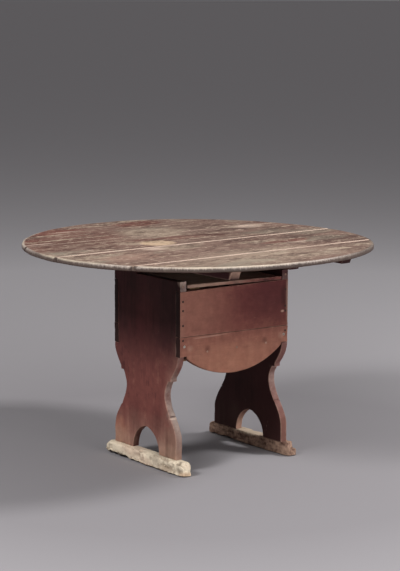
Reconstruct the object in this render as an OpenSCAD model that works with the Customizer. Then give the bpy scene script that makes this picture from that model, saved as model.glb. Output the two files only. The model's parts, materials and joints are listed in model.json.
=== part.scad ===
// Round-top hutch table: two scrolled end panels on shoe feet carry a lidded
// box, and a large board top tilts back on two wooden pins.
// Built about the middle of the base, with the front board facing -Y,
// then moved so that the origin lies under the middle of the top.

/* [Table top] */
// Height of the table, floor to top surface
table_h = 745; // [710:1:780]
// Mean diameter of the top
top_d = 1193; // [1100:1:1240]
// Thickness of the top boards
top_t = 18; // [14:0.5:24]
// Three-lobed error of the hand-cut rim
lobe_three = 10; // [0:0.5:20]
// Four-lobed error of the hand-cut rim
lobe_four = 4; // [0:0.5:9]
// Direction of the narrow end of the rim
lobe_dir = -38; // [-90:1:90]
// Middle of the rim, left or right of the base
top_off_x = -12; // [-25:1:25]
// Middle of the rim, behind the middle of the base
top_off_y = 20; // [0:1:35]
// Seam between the front board and the next
seam_front = -312; // [-340:1:-280]
// Seam near the middle of the base
seam_mid = -13; // [-60:1:40]
// Seam of the rear board
seam_rear = 238; // [225:1:300]
// Open gap at a seam
seam_gap = 1.5; // [0.5:0.1:3]

/* [Cleats and pivot] */
// Width of a cleat
cleat_w = 42; // [34:1:50]
// Depth of the side cleats at their ends
cleat_d = 28; // [18:1:32]
// Depth of the middle cleat
cleat_d_mid = 20; // [14:1:24]
// Depth of the side cleats around the pivot
cleat_deep = 56; // [50:1:62]
// Length of the deep stretch of a side cleat
cleat_deep_l = 120; // [90:1:150]
// Length of each slope beside the deep stretch
cleat_slope_l = 70; // [40:1:90]
// Free space between cleat and end panel
cleat_gap = 2.5; // [1.5:0.1:4]
// Front end of the left cleat
cleat_front_left = -505; // [-520:1:-440]
// Front end of the right cleat
cleat_front_right = -462; // [-490:1:-420]
// Front end of the middle cleat
cleat_front_mid = -488; // [-520:1:-440]
// Rear end of the side cleats
cleat_rear = 500; // [440:1:520]
// Rear end of the middle cleat
cleat_rear_mid = 190; // [150:1:200]
// Slope cut under the ends of the side cleats
cleat_undercut = 14; // [0:1:20]
// Slope cut under the front end of the middle cleat
cleat_undercut_mid = 7; // [0:1:14]
// Radius of a pivot pin
pin_r = 8; // [6:0.5:10]
// Pivot below the underside of the top
pivot_drop = 30; // [26:1:34]
// Radius of a pivot pin's head
pin_head_r = 13; // [11:0.5:16]
// Thickness of a pivot pin's head
pin_head_t = 7; // [5:0.5:10]
// Free space behind the base when the top stands up
tilt_gap = 3; // [2:0.5:5]

/* [End panels] */
// Width of the base over the panels
base_w = 467; // [420:1:500]
// Depth of the base over the panels
base_d = 370; // [340:1:400]
// Thickness of an end panel
panel_t = 27; // [22:0.5:30]
// Open space between the panel's front corner and the top
top_clear = 77; // [68:1:90]
// Height of the front ears above the front board
ear_h = 34; // [28:1:42]
// Depth of the panel at its waist
waist_d = 234; // [200:1:260]
// Height of the waist, as a share of the leg between foot and box
waist_share = 0.605; // [0.55:0.005:0.65]
// Height above the foot where the lower flare is full
flare_up = 58; // [48:1:70]
// Height of the square step above the waist
step_up = 48; // [38:1:56]
// Height of the step's square face
step_h = 12; // [8:1:16]
// How far the scroll stands out above the step
step_out = 6; // [3:0.5:9]
// Draft of the step's square face
step_draft = 2; // [0:0.5:3]
// Drop from the waist to the small nick in the lower flare
nick_down = 72; // [60:1:80]
// Depth of the nick
nick_in = 3; // [1:0.5:5]
// Height of the nick's cut
nick_h = 3; // [1:0.5:6]
// Left panel's front edge is cut back by this at its shoulder
left_back_top = 12; // [0:1:14]
// Left panel's front edge is cut back by this at its foot
left_back_foot = 24; // [0:1:28]
// Front of the raised rear ear
ear_y = 60; // [40:1:90]
// Half width of the foot arch
arch_w = 74; // [60:1:85]
// Height of the foot arch over the foot
arch_h = 85; // [70:1:95]
// Middle of the left panel's arch
arch_left_y = 6; // [-15:1:15]
// Middle of the right panel's arch
arch_right_y = -14; // [-20:1:15]

/* [Feet] */
// Height of a shoe foot
foot_h = 45; // [38:1:52]
// Width of a shoe foot
foot_w = 48; // [44:1:58]
// Front end of the feet
foot_front = -222; // [-240:1:-205]
// Rear end of the feet
foot_rear = 225; // [205:1:240]
// Rounding of a foot's upper ends
foot_round = 18; // [8:1:24]
// Thickness of a tenon
tenon_t = 13; // [9:0.5:15]
// Length of a tenon along the foot
tenon_l = 58; // [45:1:64]
// Depth of a tenon in the foot
tenon_h = 34; // [26:1:36]
// Free space round a tenon
tenon_gap = 0.4; // [0.2:0.1:1]
// Radius of a foot peg
peg_r = 5; // [3.5:0.5:6]

/* [Box] */
// Thickness of the front and back boards
wall_t = 24; // [18:0.5:26]
// Height of the front and back at their ends
wall_h = 219; // [200:1:235]
// Drop of the curved lower edge below the ends
curve_drop = 78; // [60:1:90]
// Radius of the curved lower edge
curve_r = 335; // [310:1:380]
// Height of the upper board at its left end
upper_left = 152; // [140:1:165]
// Height of the upper board at its right end
upper_right = 161; // [140:1:165]
// Open gap at that joint
joint_gap = 1; // [0.5:0.1:2]
// Top face of the box floor above the ends' lower corners
floor_up = 18; // [12:1:24]
// Thickness of the floor boards
floor_t = 20; // [14:1:22]
// Side of a floor ledger's section
ledger_s = 18; // [14:1:22]

/* [Lid] */
// Thickness of the lid board
lid_t = 12; // [10:0.5:14]
// Free space between the lid and each end panel
lid_gap = 3; // [2:0.5:5]
// Free space under the lid at its low right end
lid_seat = 0.5; // [0.3:0.1:1]
// Sideways slope of the warped lid
lid_slope = 1.3; // [0:0.1:1.5]
// Radius of a lid pin
lid_pin_r = 3.5; // [2.5:0.5:4]
// Distance from the back of the base to the lid pins
lid_pin_in = 33; // [31:1:40]
// Width of a lid batten
batten_w = 40; // [25:1:55]
// Thickness of a lid batten
batten_t = 14; // [10:1:16]
// Distance of a batten's middle from the end of the lid
batten_in = 63; // [45:1:90]

/* [Nails] */
// Radius of a nail shank
nail_r = 1.8; // [1.2:0.1:2.2]
// Radius of a nail head
head_r = 4; // [3:0.5:5]
// Radius of the two large rose heads
rose_r = 6; // [5:0.5:7]
// Thickness of a nail head
head_t = 2; // [1.5:0.1:2.5]
// How far a head stands out
head_out = 0.8; // [0:0.1:1.2]
// Length of the nails in the front and back boards
nail_l = 50; // [40:1:60]
// Distance of the nails from the ends of the boards
nail_in = 12; // [9:1:15]
// Distance of the rose heads from the ends of the boards
rose_in = 18; // [10:1:19]
// Heights of the nails in the left end, from the top edge down
nails_left = [33, 63, 113, 163, 184];
// Heights of the nails in the right end, from the top edge down
nails_right = [35, 92, 109, 178, 191];
// Places of the nails along a floor board
floor_nails_x = [-119, 8, 136];

/* [Hidden] */
$fn = 64;

half_w = base_w / 2;
half_d = base_d / 2;
inner_w = half_w - panel_t;
under_z = table_h - top_t;
panel_h = under_z - top_clear;
wall_top = panel_h - ear_h;
wall_corner = wall_top - wall_h;
wall_low = wall_corner - curve_drop;
joint_left = wall_top - upper_left;
joint_right = wall_top - upper_right;
floor_z = wall_corner + floor_up;
waist_z = foot_h + waist_share * (wall_corner - foot_h);
flare_z = foot_h + flare_up;
step_z = waist_z + step_up;
nick_z = waist_z - nick_down;
box_d = half_d - wall_t;
cut = 1;
fit = 0.05;
run = 0.1;

// Rim: a circle with two small periodic errors, as a hand saw leaves it
rim_n = 144;
function rim_r(a) = top_d / 2
    + lobe_three * cos(3 * (a - lobe_dir))
    + lobe_four * cos(4 * (a - lobe_dir));
rim = [for (i = [0 : rim_n - 1]) let (a = 360 * i / rim_n)
    [top_off_x + rim_r(a) * cos(a), top_off_y + rim_r(a) * sin(a)]];
rim_x = [for (p = rim) p[0]];
rim_y = [for (p = rim) p[1]];
origin_x = (max(rim_x) + min(rim_x)) / 2;
origin_y = (max(rim_y) + min(rim_y)) / 2;

// Pivot of the top: far enough back for the raised top to clear the base
pivot_y = half_d - pivot_drop + tilt_gap;
pivot_z = under_z - pivot_drop;
ear_clear = 1;
ear_round = pivot_drop - ear_clear;

cleat_x = half_w + cleat_gap + cleat_w / 2;

foot_x = inner_w + foot_w / 2;
tenon_x = inner_w + panel_t / 2;
tenon_y = 112;

lid_half = inner_w - lid_gap;
lid_pin_y = half_d - lid_pin_in;
lid_low_x = lid_half;
lid_mid_z = wall_top + lid_seat + lid_low_x * tan(lid_slope) + lid_t / 2 / cos(lid_slope);
lid_pin_l = 22;
batten_x = lid_half - batten_in;
lid_pin_in_lid = 12;

nail_y = half_d + head_out;

module at_base() {
    translate([-origin_x, -origin_y, 0]) children();
}

// Turns an outline in (Y, Z) into a plate t thick, its low face at X = x
module plate(x, t) {
    translate([x, 0, 0]) rotate([90, 0, 90]) linear_extrude(height = t) children();
}

// Turns an outline in (X, Z) into a plate t thick, its low face at Y = y
module upright(y, t) {
    translate([0, y + t, 0]) rotate([90, 0, 0]) linear_extrude(height = t) children();
}

// A nail: its head's outer face at the origin, its point along +Z
module nail(l, r) {
    cylinder(h = head_t, r = r);
    translate([0, 0, head_t]) cylinder(h = l - head_t, r = nail_r);
}

// Half depth of a panel at height z: a cyma above the waist, a flare below
function upper_cyma(z) = waist_d / 2
    + (half_d - waist_d / 2) * (1 - cos(180 * (z - waist_z) / (wall_corner - waist_z))) / 2;
function lower_cyma(z) = waist_d / 2
    + (half_d - waist_d / 2) * (1 - cos(180 * (waist_z - z) / (waist_z - flare_z))) / 2;
curve_n = 14;
function span(a, b, n) = [for (i = [0 : n]) a + (b - a) * i / n];
edge = concat(
    [[foot_h, half_d]],
    [for (z = span(flare_z, nick_z, curve_n)) [z, lower_cyma(z)]],
    [[nick_z, lower_cyma(nick_z) - nick_in], [nick_z + nick_h, lower_cyma(nick_z + nick_h) - nick_in]],
    [for (z = span(nick_z + nick_h, waist_z, curve_n)) [z, lower_cyma(z)]],
    [for (z = span(waist_z, step_z, curve_n)) if (z > waist_z) [z, upper_cyma(z)]],
    [[step_z, upper_cyma(step_z + step_h) + step_out - step_draft]],
    [for (z = span(step_z + step_h, wall_corner, curve_n))
        [z, min(half_d, upper_cyma(z) + step_out * (wall_corner - z) / (wall_corner - step_z))]]
);

// Set-back of the front edge at height z, straight from shoulder to foot
function set_back(z, top, foot) = top + (foot - top) * (wall_corner - z) / (wall_corner - foot_h);

module panel_outline(back_top, back_foot) {
    front = [for (e = edge) [-(e[1] - set_back(e[0], back_top, back_foot)), e[0]]];
    rear = [for (i = [len(edge) - 1 : -1 : 0]) [edge[i][1], edge[i][0]]];
    polygon(concat(front, rear));
    // Upper part, notched for the front and back boards
    difference() {
        translate([-half_d, wall_corner]) square([base_d, panel_h - wall_corner]);
        translate([-half_d - cut, wall_corner - cut])
            square([wall_t + cut, wall_top - wall_corner + cut]);
        translate([half_d - wall_t, wall_corner - cut])
            square([wall_t + cut, wall_top - wall_corner + cut]);
    }
    // Raised rear ear, its back corner round about the pivot
    translate([ear_y, panel_h - cut])
        square([half_d - ear_y, pivot_z - panel_h + cut]);
    translate([ear_y, pivot_z - cut])
        square([pivot_y - ear_y, under_z - ear_clear - pivot_z + cut]);
    intersection() {
        translate([pivot_y, pivot_z]) circle(r = ear_round);
        translate([pivot_y - cut, pivot_z - cut])
            square([half_d - pivot_y + cut, ear_round + 2 * cut]);
    }
}

// Pointed arch over a foot: the lens of two circles
module arch(y) {
    r = (arch_w * arch_w + arch_h * arch_h) / (2 * arch_w);
    intersection() {
        translate([y - arch_w + r, foot_h]) circle(r = r);
        translate([y + arch_w - r, foot_h]) circle(r = r);
        translate([y - arch_w - cut, foot_h - cut])
            square([2 * arch_w + 2 * cut, arch_h + 2 * cut]);
    }
}

// Axis of the lid: through the middle of the lid board, on its slope
module on_lid() {
    translate([0, lid_pin_y, lid_mid_z]) rotate([0, lid_slope, 0]) children();
}

module panel(side) {
    x0 = side < 0 ? -half_w : inner_w;
    color([0.44, 0.27, 0.25]) at_base() difference() {
        union() {
            difference() {
                plate(x0, panel_t)
                    panel_outline(side < 0 ? left_back_top : 0, side < 0 ? left_back_foot : 0);
                plate(x0 - cut, panel_t + 2 * cut)
                    arch(side < 0 ? arch_left_y : arch_right_y);
            }
            for (y = [-tenon_y, tenon_y])
                translate([side * tenon_x - tenon_t / 2, y - tenon_l / 2, foot_h - tenon_h])
                    cube([tenon_t, tenon_l, tenon_h + cut]);
        }
        // Bearing of the pivot pin
        translate([x0 - cut, pivot_y, pivot_z]) rotate([0, 90, 0])
            cylinder(h = panel_t + 2 * cut, r = pin_r + run);
        // Blind bearing of the lid pin
        on_lid() rotate([0, side * 90, 0]) translate([0, 0, lid_half - cut])
            cylinder(h = lid_pin_l - lid_pin_in_lid + 2 * cut, r = lid_pin_r + run);
        // Peg holes in the tenons
        for (y = [-tenon_y, tenon_y])
            translate([x0 - cut, y, foot_h / 2]) rotate([0, 90, 0])
                cylinder(h = panel_t + 2 * cut, r = peg_r + fit);
    }
}
module end_panel_left() { panel(-1); }
module end_panel_right() { panel(1); }

module foot_outline() {
    l = foot_rear - foot_front;
    translate([foot_front, 0]) square([l, foot_h - foot_round]);
    translate([foot_front + foot_round, 0]) square([l - 2 * foot_round, foot_h]);
    for (y = [foot_front + foot_round, foot_rear - foot_round])
        translate([y, foot_h - foot_round]) circle(r = foot_round);
}

module foot(side) {
    color([0.72, 0.66, 0.57]) at_base() difference() {
        plate(side * foot_x - foot_w / 2, foot_w) foot_outline();
        for (y = [-tenon_y, tenon_y]) {
            translate([side * tenon_x - tenon_t / 2 - tenon_gap, y - tenon_l / 2 - tenon_gap,
                       foot_h - tenon_h - tenon_gap])
                cube([tenon_t + 2 * tenon_gap, tenon_l + 2 * tenon_gap, tenon_h + cut + tenon_gap]);
            translate([side * foot_x - foot_w / 2 - cut, y, foot_h / 2]) rotate([0, 90, 0])
                cylinder(h = foot_w + 2 * cut, r = peg_r + fit);
        }
    }
}
module foot_left() { foot(-1); }
module foot_right() { foot(1); }

module foot_pegs() {
    color([0.55, 0.45, 0.35]) at_base()
        for (side = [-1, 1], y = [-tenon_y, tenon_y])
            translate([side * foot_x - foot_w / 2, y, foot_h / 2]) rotate([0, 90, 0])
                cylinder(h = foot_w, r = peg_r);
}

// Front and back walls: an upper board over a lower one with a curved edge
module wall_upper() {
    polygon([[-half_w, wall_top], [half_w, wall_top],
             [half_w, joint_right + joint_gap / 2], [-half_w, joint_left + joint_gap / 2]]);
}
curve_gap = 0.5;
curve_fn = 180;
module wall_lower() {
    half = inner_w - curve_gap;
    polygon([[-half_w, joint_left - joint_gap / 2], [half_w, joint_right - joint_gap / 2],
             [half_w, wall_corner], [-half_w, wall_corner]]);
    intersection() {
        translate([0, wall_low + curve_r]) circle(r = curve_r, $fn = curve_fn);
        translate([-half, wall_low - cut]) square([2 * half, curve_drop + 2 * cut]);
    }
}
module front_board_upper() {
    color([0.45, 0.27, 0.24]) at_base() upright(-half_d, wall_t) wall_upper();
}
module front_board_lower() {
    color([0.50, 0.32, 0.27]) at_base() upright(-half_d, wall_t) wall_lower();
}
module back_board_upper() {
    color([0.40, 0.25, 0.23]) at_base() upright(half_d - wall_t, wall_t) wall_upper();
}
module back_board_lower() {
    color([0.42, 0.27, 0.24]) at_base() upright(half_d - wall_t, wall_t) wall_lower();
}

// Nails through a wall into the end panels: the lowest at the front is a rose head
module wall_nail(side, drop, face, r, inset = nail_in) {
    translate([side * (half_w - inset), face * nail_y, wall_top - drop])
        rotate([face * 90, 0, 0]) nail(nail_l, r);
}
module front_nails() {
    color([0.18, 0.15, 0.14]) at_base() {
        for (i = [0 : len(nails_left) - 2]) wall_nail(-1, nails_left[i], -1, head_r);
        for (i = [0 : len(nails_right) - 2]) wall_nail(1, nails_right[i], -1, head_r);
        for (x = floor_nails_x) translate([x, -nail_y, floor_z - floor_t / 2])
            rotate([-90, 0, 0]) nail(nail_l, head_r);
    }
}
module rose_head_nails() {
    color([0.62, 0.60, 0.55]) at_base() {
        wall_nail(-1, nails_left[len(nails_left) - 1], -1, rose_r, rose_in);
        wall_nail(1, nails_right[len(nails_right) - 1], -1, rose_r, rose_in);
    }
}
module back_nails() {
    color([0.18, 0.15, 0.14]) at_base() {
        for (d = nails_left) wall_nail(-1, d, 1, head_r);
        for (d = nails_right) wall_nail(1, d, 1, head_r);
        for (x = floor_nails_x) translate([x, nail_y, floor_z - floor_t / 2])
            rotate([90, 0, 0]) nail(nail_l, head_r);
    }
}
// One nail in the front edge of each ear, over the front board
module ear_nails() {
    color([0.18, 0.15, 0.14]) at_base()
        for (side = [-1, 1])
            translate([side * (half_w - nail_in), -nail_y, (wall_top + panel_h) / 2])
                rotate([-90, 0, 0]) nail(nail_l, head_r);
}

floor_gap = 2;
module floor_board(y0, y1) {
    color([0.50, 0.38, 0.30]) at_base()
        translate([-inner_w, y0, floor_z - floor_t])
            cube([2 * inner_w, y1 - y0, floor_t]);
}
module floor_board_front() { floor_board(-box_d, -floor_gap / 2); }
module floor_board_rear() { floor_board(floor_gap / 2, box_d); }

module ledger(side) {
    x = side < 0 ? -inner_w : inner_w - ledger_s;
    color([0.48, 0.38, 0.30]) at_base()
        translate([x, -box_d, floor_z - floor_t - ledger_s])
            cube([ledger_s, 2 * box_d, ledger_s]);
}
module floor_ledger_left() { ledger(-1); }
module floor_ledger_right() { ledger(1); }

ledger_nail_in = 52;
ledger_nail_y = [ledger_nail_in - box_d, 0, box_d - ledger_nail_in];
floor_nail_in = 16;
floor_nail_mid = 50;
floor_nail_y = [floor_nail_in - box_d, -floor_nail_mid, floor_nail_mid, box_d - floor_nail_in];
module ledger_nails() {
    l = ledger_s + panel_t / 2;
    color([0.20, 0.17, 0.15]) at_base()
        for (side = [-1, 1], y = ledger_nail_y)
            translate([side * (inner_w - ledger_s), y, floor_z - floor_t - ledger_s / 2])
                rotate([0, side * 90, 0]) nail(l, head_r);
}
// Nails down through the floor boards into the ledgers
module floor_nails() {
    color([0.20, 0.17, 0.15]) at_base()
        for (side = [-1, 1], y = floor_nail_y)
            translate([side * (inner_w - ledger_s / 2), y, floor_z])
                rotate([180, 0, 0]) nail(floor_t + ledger_s / 2, head_r);
}

module top_board(y0, y1) {
    reach = top_d;
    color([0.55, 0.42, 0.36]) at_base()
        translate([0, 0, under_z]) linear_extrude(height = top_t) intersection() {
            polygon(rim);
            translate([-reach, y0]) square([2 * reach, y1 - y0]);
        }
}
module top_board_front() { top_board(-top_d, seam_front - seam_gap / 2); }
module top_board_mid_front() { top_board(seam_front + seam_gap / 2, seam_mid - seam_gap / 2); }
module top_board_mid_rear() { top_board(seam_mid + seam_gap / 2, seam_rear - seam_gap / 2); }
module top_board_rear() { top_board(seam_rear + seam_gap / 2, top_d); }

// Side cleat: shallow at its ends, deep where the pivot pin passes
module side_cleat_outline(front) {
    deep = cleat_deep_l / 2;
    polygon([[front, under_z], [front + cleat_undercut, under_z - cleat_d],
             [pivot_y - deep - cleat_slope_l, under_z - cleat_d],
             [pivot_y - deep, under_z - cleat_deep], [pivot_y + deep, under_z - cleat_deep],
             [pivot_y + deep + cleat_slope_l, under_z - cleat_d],
             [cleat_rear - cleat_undercut, under_z - cleat_d], [cleat_rear, under_z]]);
}
module side_cleat(side, front) {
    color([0.50, 0.36, 0.30]) at_base() difference() {
        plate(side * cleat_x - cleat_w / 2, cleat_w) side_cleat_outline(front);
        translate([side * cleat_x - cleat_w / 2 - cut, pivot_y, pivot_z]) rotate([0, 90, 0])
            cylinder(h = cleat_w + 2 * cut, r = pin_r + fit);
    }
}
module cleat_left() { side_cleat(-1, cleat_front_left); }
module cleat_right() { side_cleat(1, cleat_front_right); }
module cleat_middle() {
    color([0.50, 0.36, 0.30]) at_base()
        plate(-cleat_w / 2, cleat_w)
            polygon([[cleat_front_mid, under_z], [cleat_front_mid + cleat_undercut_mid, under_z - cleat_d_mid],
                     [cleat_rear_mid, under_z - cleat_d_mid], [cleat_rear_mid, under_z]]);
}

// Cleat nails go up into each board: by the seams, through the deep stretch and by the rear ends
seam_nail = 35;
deep_nail_in = 15;
rear_nail_in = 48;
nail_up = 12;
seam_nail_y = [seam_front - seam_nail, seam_front + seam_nail,
               seam_mid - seam_nail, seam_mid + seam_nail];
deep_end = pivot_y + cleat_deep_l / 2;
side_nail_y = concat(seam_nail_y, [deep_end + cleat_slope_l + rear_nail_in, cleat_rear - rear_nail_in]);
module cleat_nail(x, y, depth) {
    translate([x, y, under_z - depth]) nail(depth + nail_up, head_r);
}
module cleat_nails() {
    color([0.20, 0.17, 0.15]) at_base() {
        for (side = [-1, 1]) {
            for (y = side_nail_y) cleat_nail(side * cleat_x, y, cleat_d);
            cleat_nail(side * cleat_x, deep_end - deep_nail_in, cleat_deep);
        }
        for (y = concat(seam_nail_y, [cleat_rear_mid - rear_nail_in])) cleat_nail(0, y, cleat_d_mid);
    }
}

// Pivot pin: a round head outside the cleat, its shank through to the box
module pivot_pin(side) {
    color([0.45, 0.34, 0.26]) at_base()
        translate([side * (cleat_x + cleat_w / 2), pivot_y, pivot_z]) rotate([0, -side * 90, 0]) {
            translate([0, 0, -pin_head_t]) cylinder(h = pin_head_t, r = pin_head_r);
            cylinder(h = cleat_w + cleat_gap + panel_t, r = pin_r);
        }
}
module pivot_pin_left() { pivot_pin(-1); }
module pivot_pin_right() { pivot_pin(1); }

// Lid: its rear edge is round about the pins
lid_l = half_d + lid_pin_y;
module lid_board() {
    color([0.48, 0.30, 0.26]) at_base() on_lid() difference() {
        union() {
            translate([-lid_half, -lid_l, -lid_t / 2]) cube([2 * lid_half, lid_l, lid_t]);
            translate([-lid_half, 0, 0]) rotate([0, 90, 0])
                cylinder(h = 2 * lid_half, r = lid_t / 2);
        }
        for (side = [-1, 1]) rotate([0, side * 90, 0])
            translate([0, 0, lid_half - lid_pin_in_lid])
                cylinder(h = lid_pin_in_lid + cut, r = lid_pin_r + fit);
    }
}
module lid_pins() {
    color([0.20, 0.17, 0.15]) at_base() on_lid()
        for (side = [-1, 1]) rotate([0, side * 90, 0])
            translate([0, 0, lid_half - lid_pin_in_lid])
                cylinder(h = lid_pin_l, r = lid_pin_r);
}
batten_margin = 18;
batten_front = -lid_l + wall_t + batten_margin;
batten_rear = -lid_t / 2 - batten_margin;
module batten(side) {
    color([0.46, 0.34, 0.27]) at_base() on_lid()
        translate([side * batten_x - batten_w / 2, batten_front, -lid_t / 2 - batten_t])
            cube([batten_w, batten_rear - batten_front, batten_t]);
}
module lid_batten_left() { batten(-1); }
module lid_batten_right() { batten(1); }
batten_nail_in = 30;
lid_nail_hold = 8.4;
batten_nail_y = [batten_front + batten_nail_in, (batten_front + batten_rear) / 2, batten_rear - batten_nail_in];
module lid_batten_nails() {
    color([0.20, 0.17, 0.15]) at_base() on_lid()
        for (side = [-1, 1], y = batten_nail_y)
            translate([side * batten_x, y, -lid_t / 2 - batten_t])
                nail(batten_t + lid_nail_hold, head_r);
}

foot_left();
foot_right();
foot_pegs();
end_panel_left();
end_panel_right();
front_board_upper();
front_board_lower();
back_board_upper();
back_board_lower();
front_nails();
back_nails();
rose_head_nails();
ear_nails();
floor_board_front();
floor_board_rear();
floor_nails();
floor_ledger_left();
floor_ledger_right();
ledger_nails();
top_board_front();
top_board_mid_front();
top_board_mid_rear();
top_board_rear();
cleat_left();
cleat_right();
cleat_middle();
cleat_nails();
pivot_pin_left();
pivot_pin_right();
lid_board();
lid_batten_left();
lid_batten_right();
lid_batten_nails();
lid_pins();
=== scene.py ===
"""Round-top hutch table: the look of each board, foot, nail and pin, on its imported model."""

import json
import math
from functools import partial

import bmesh
import bpy
import numpy as np
from mathutils import Matrix, Vector, noise
from mathutils.geometry import delaunay_2d_cdt

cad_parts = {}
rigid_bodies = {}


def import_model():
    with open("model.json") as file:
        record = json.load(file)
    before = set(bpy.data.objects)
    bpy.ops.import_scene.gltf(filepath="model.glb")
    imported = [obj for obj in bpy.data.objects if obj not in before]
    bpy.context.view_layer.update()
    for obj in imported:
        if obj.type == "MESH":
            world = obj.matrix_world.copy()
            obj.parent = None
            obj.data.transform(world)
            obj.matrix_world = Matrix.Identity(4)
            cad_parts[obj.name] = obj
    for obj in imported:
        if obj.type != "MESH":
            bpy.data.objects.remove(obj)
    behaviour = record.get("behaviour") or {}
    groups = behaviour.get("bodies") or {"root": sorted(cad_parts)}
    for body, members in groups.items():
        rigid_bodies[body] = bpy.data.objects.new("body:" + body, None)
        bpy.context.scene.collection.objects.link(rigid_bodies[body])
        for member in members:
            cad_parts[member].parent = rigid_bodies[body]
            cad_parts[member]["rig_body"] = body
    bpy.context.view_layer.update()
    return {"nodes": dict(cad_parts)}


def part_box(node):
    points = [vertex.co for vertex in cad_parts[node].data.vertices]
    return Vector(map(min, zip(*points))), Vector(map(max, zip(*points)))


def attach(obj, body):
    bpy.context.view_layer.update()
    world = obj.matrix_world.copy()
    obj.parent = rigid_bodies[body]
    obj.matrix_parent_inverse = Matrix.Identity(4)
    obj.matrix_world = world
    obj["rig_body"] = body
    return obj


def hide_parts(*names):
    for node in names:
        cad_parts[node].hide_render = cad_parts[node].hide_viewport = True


bl_info = {
    "name": "Round-Top Hutch Table",
    "version": (1, 0, 0),
    "blender": (4, 5, 0),
    "location": "View3D > Sidebar > Hutch Table",
    "description": "Builds the worn boards, feet, nails and pins of a hutch table",
    "category": "Object",
}

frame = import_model()

MM = 0.001
TINY = 0.00001
X, Y, Z = 0, 1, 2
# The two axes across each axis
ACROSS = ((Y, Z), (X, Z), (X, Y))
# A sharper turn than this in an outline is a corner
CORNER = math.radians(24)
# The lid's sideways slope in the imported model
LID_TURN = Matrix.Rotation(math.radians(1.3), 4, "Y")

# Middle of the base in the frame: halfway between the two end panels, front to back
BASE_X = (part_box("end_panel_left")[0].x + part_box("end_panel_right")[1].x) / 2
BASE_Y = (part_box("front_board_upper")[0].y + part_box("back_board_upper")[1].y) / 2
TABLE_UNDER_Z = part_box("top_board_front")[0].z
SEAMS = [(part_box(front)[1].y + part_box(rear)[0].y) / 2 for front, rear in (
    ("top_board_front", "top_board_mid_front"),
    ("top_board_mid_front", "top_board_mid_rear"),
    ("top_board_mid_rear", "top_board_rear"))]


def linear(code):
    """An sRGB hex colour as linear red, green, blue and alpha."""
    channels = [int(code[i:i + 2], 16) / 255 for i in (1, 3, 5)]
    return tuple(c / 12.92 if c <= 0.04045 else ((c + 0.055) / 1.055) ** 2.4
                 for c in channels) + (1.0,)


def length_prop(name, description, default_mm):
    """A length property in metres, its default given in millimetres."""
    return bpy.props.FloatProperty(
        name=name, description=description, default=default_mm * MM, min=0.0, precision=5,
        subtype="DISTANCE", unit="LENGTH")


def colour_prop(name, description, code):
    """A colour property, its default given as an sRGB hex value."""
    return bpy.props.FloatVectorProperty(
        name=name, description=description, default=linear(code), size=4, min=0.0, max=1.0,
        subtype="COLOR")


class HutchSizes(bpy.types.PropertyGroup):
    """How far the pieces are worn and how finely they are built."""

    cell: length_prop("Cell", "Spacing of the mesh lines across a board", 14.0)
    panel_arris: length_prop("Panel Arris", "Rounding of the end panels' edges", 2.4)
    board_arris: length_prop("Board Arris", "Rounding of the boards' edges", 1.8)
    joint_arris: length_prop("Joint Arris", "Rounding where two boards of the top meet", 0.8)
    wall_joint_arris: length_prop("Wall Joint Arris", "Rounding where a wall's boards meet", 0.1)
    curve_arris: length_prop("Curve Arris", "Rounding of the walls' curved lower edges", 4.0)
    rim_upper: length_prop("Rim, Upper", "Rounding of the rim's upper edge", 6.5)
    rim_lower: length_prop("Rim, Lower", "Rounding of the rim's lower edge", 5.5)
    seam_notch: length_prop("Seam Notch", "How far the rim is worn in where a seam meets it", 5.0)
    foot_arris: length_prop("Foot Arris", "Rounding of the feet's edges", 7.0)
    foot_lump: length_prop("Foot Lump", "Deepest hollow worn and rotted into a foot", 9.0)
    knuckle: length_prop("Knuckle", "How far in the worn round end of a foot reaches", 26.0)
    sole_gap: length_prop("Sole Gap", "How high a sole's rotted edge stands off the floor", 15.0)
    chip: length_prop("Chip", "Deepest dent along a worn edge", 2.4)
    wave: length_prop("Wave", "Depth of the hand-planed waves in a board's faces", 0.5)
    wear_reach: length_prop("Wear Reach", "How far the dents run in from an edge", 11.0)


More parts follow.
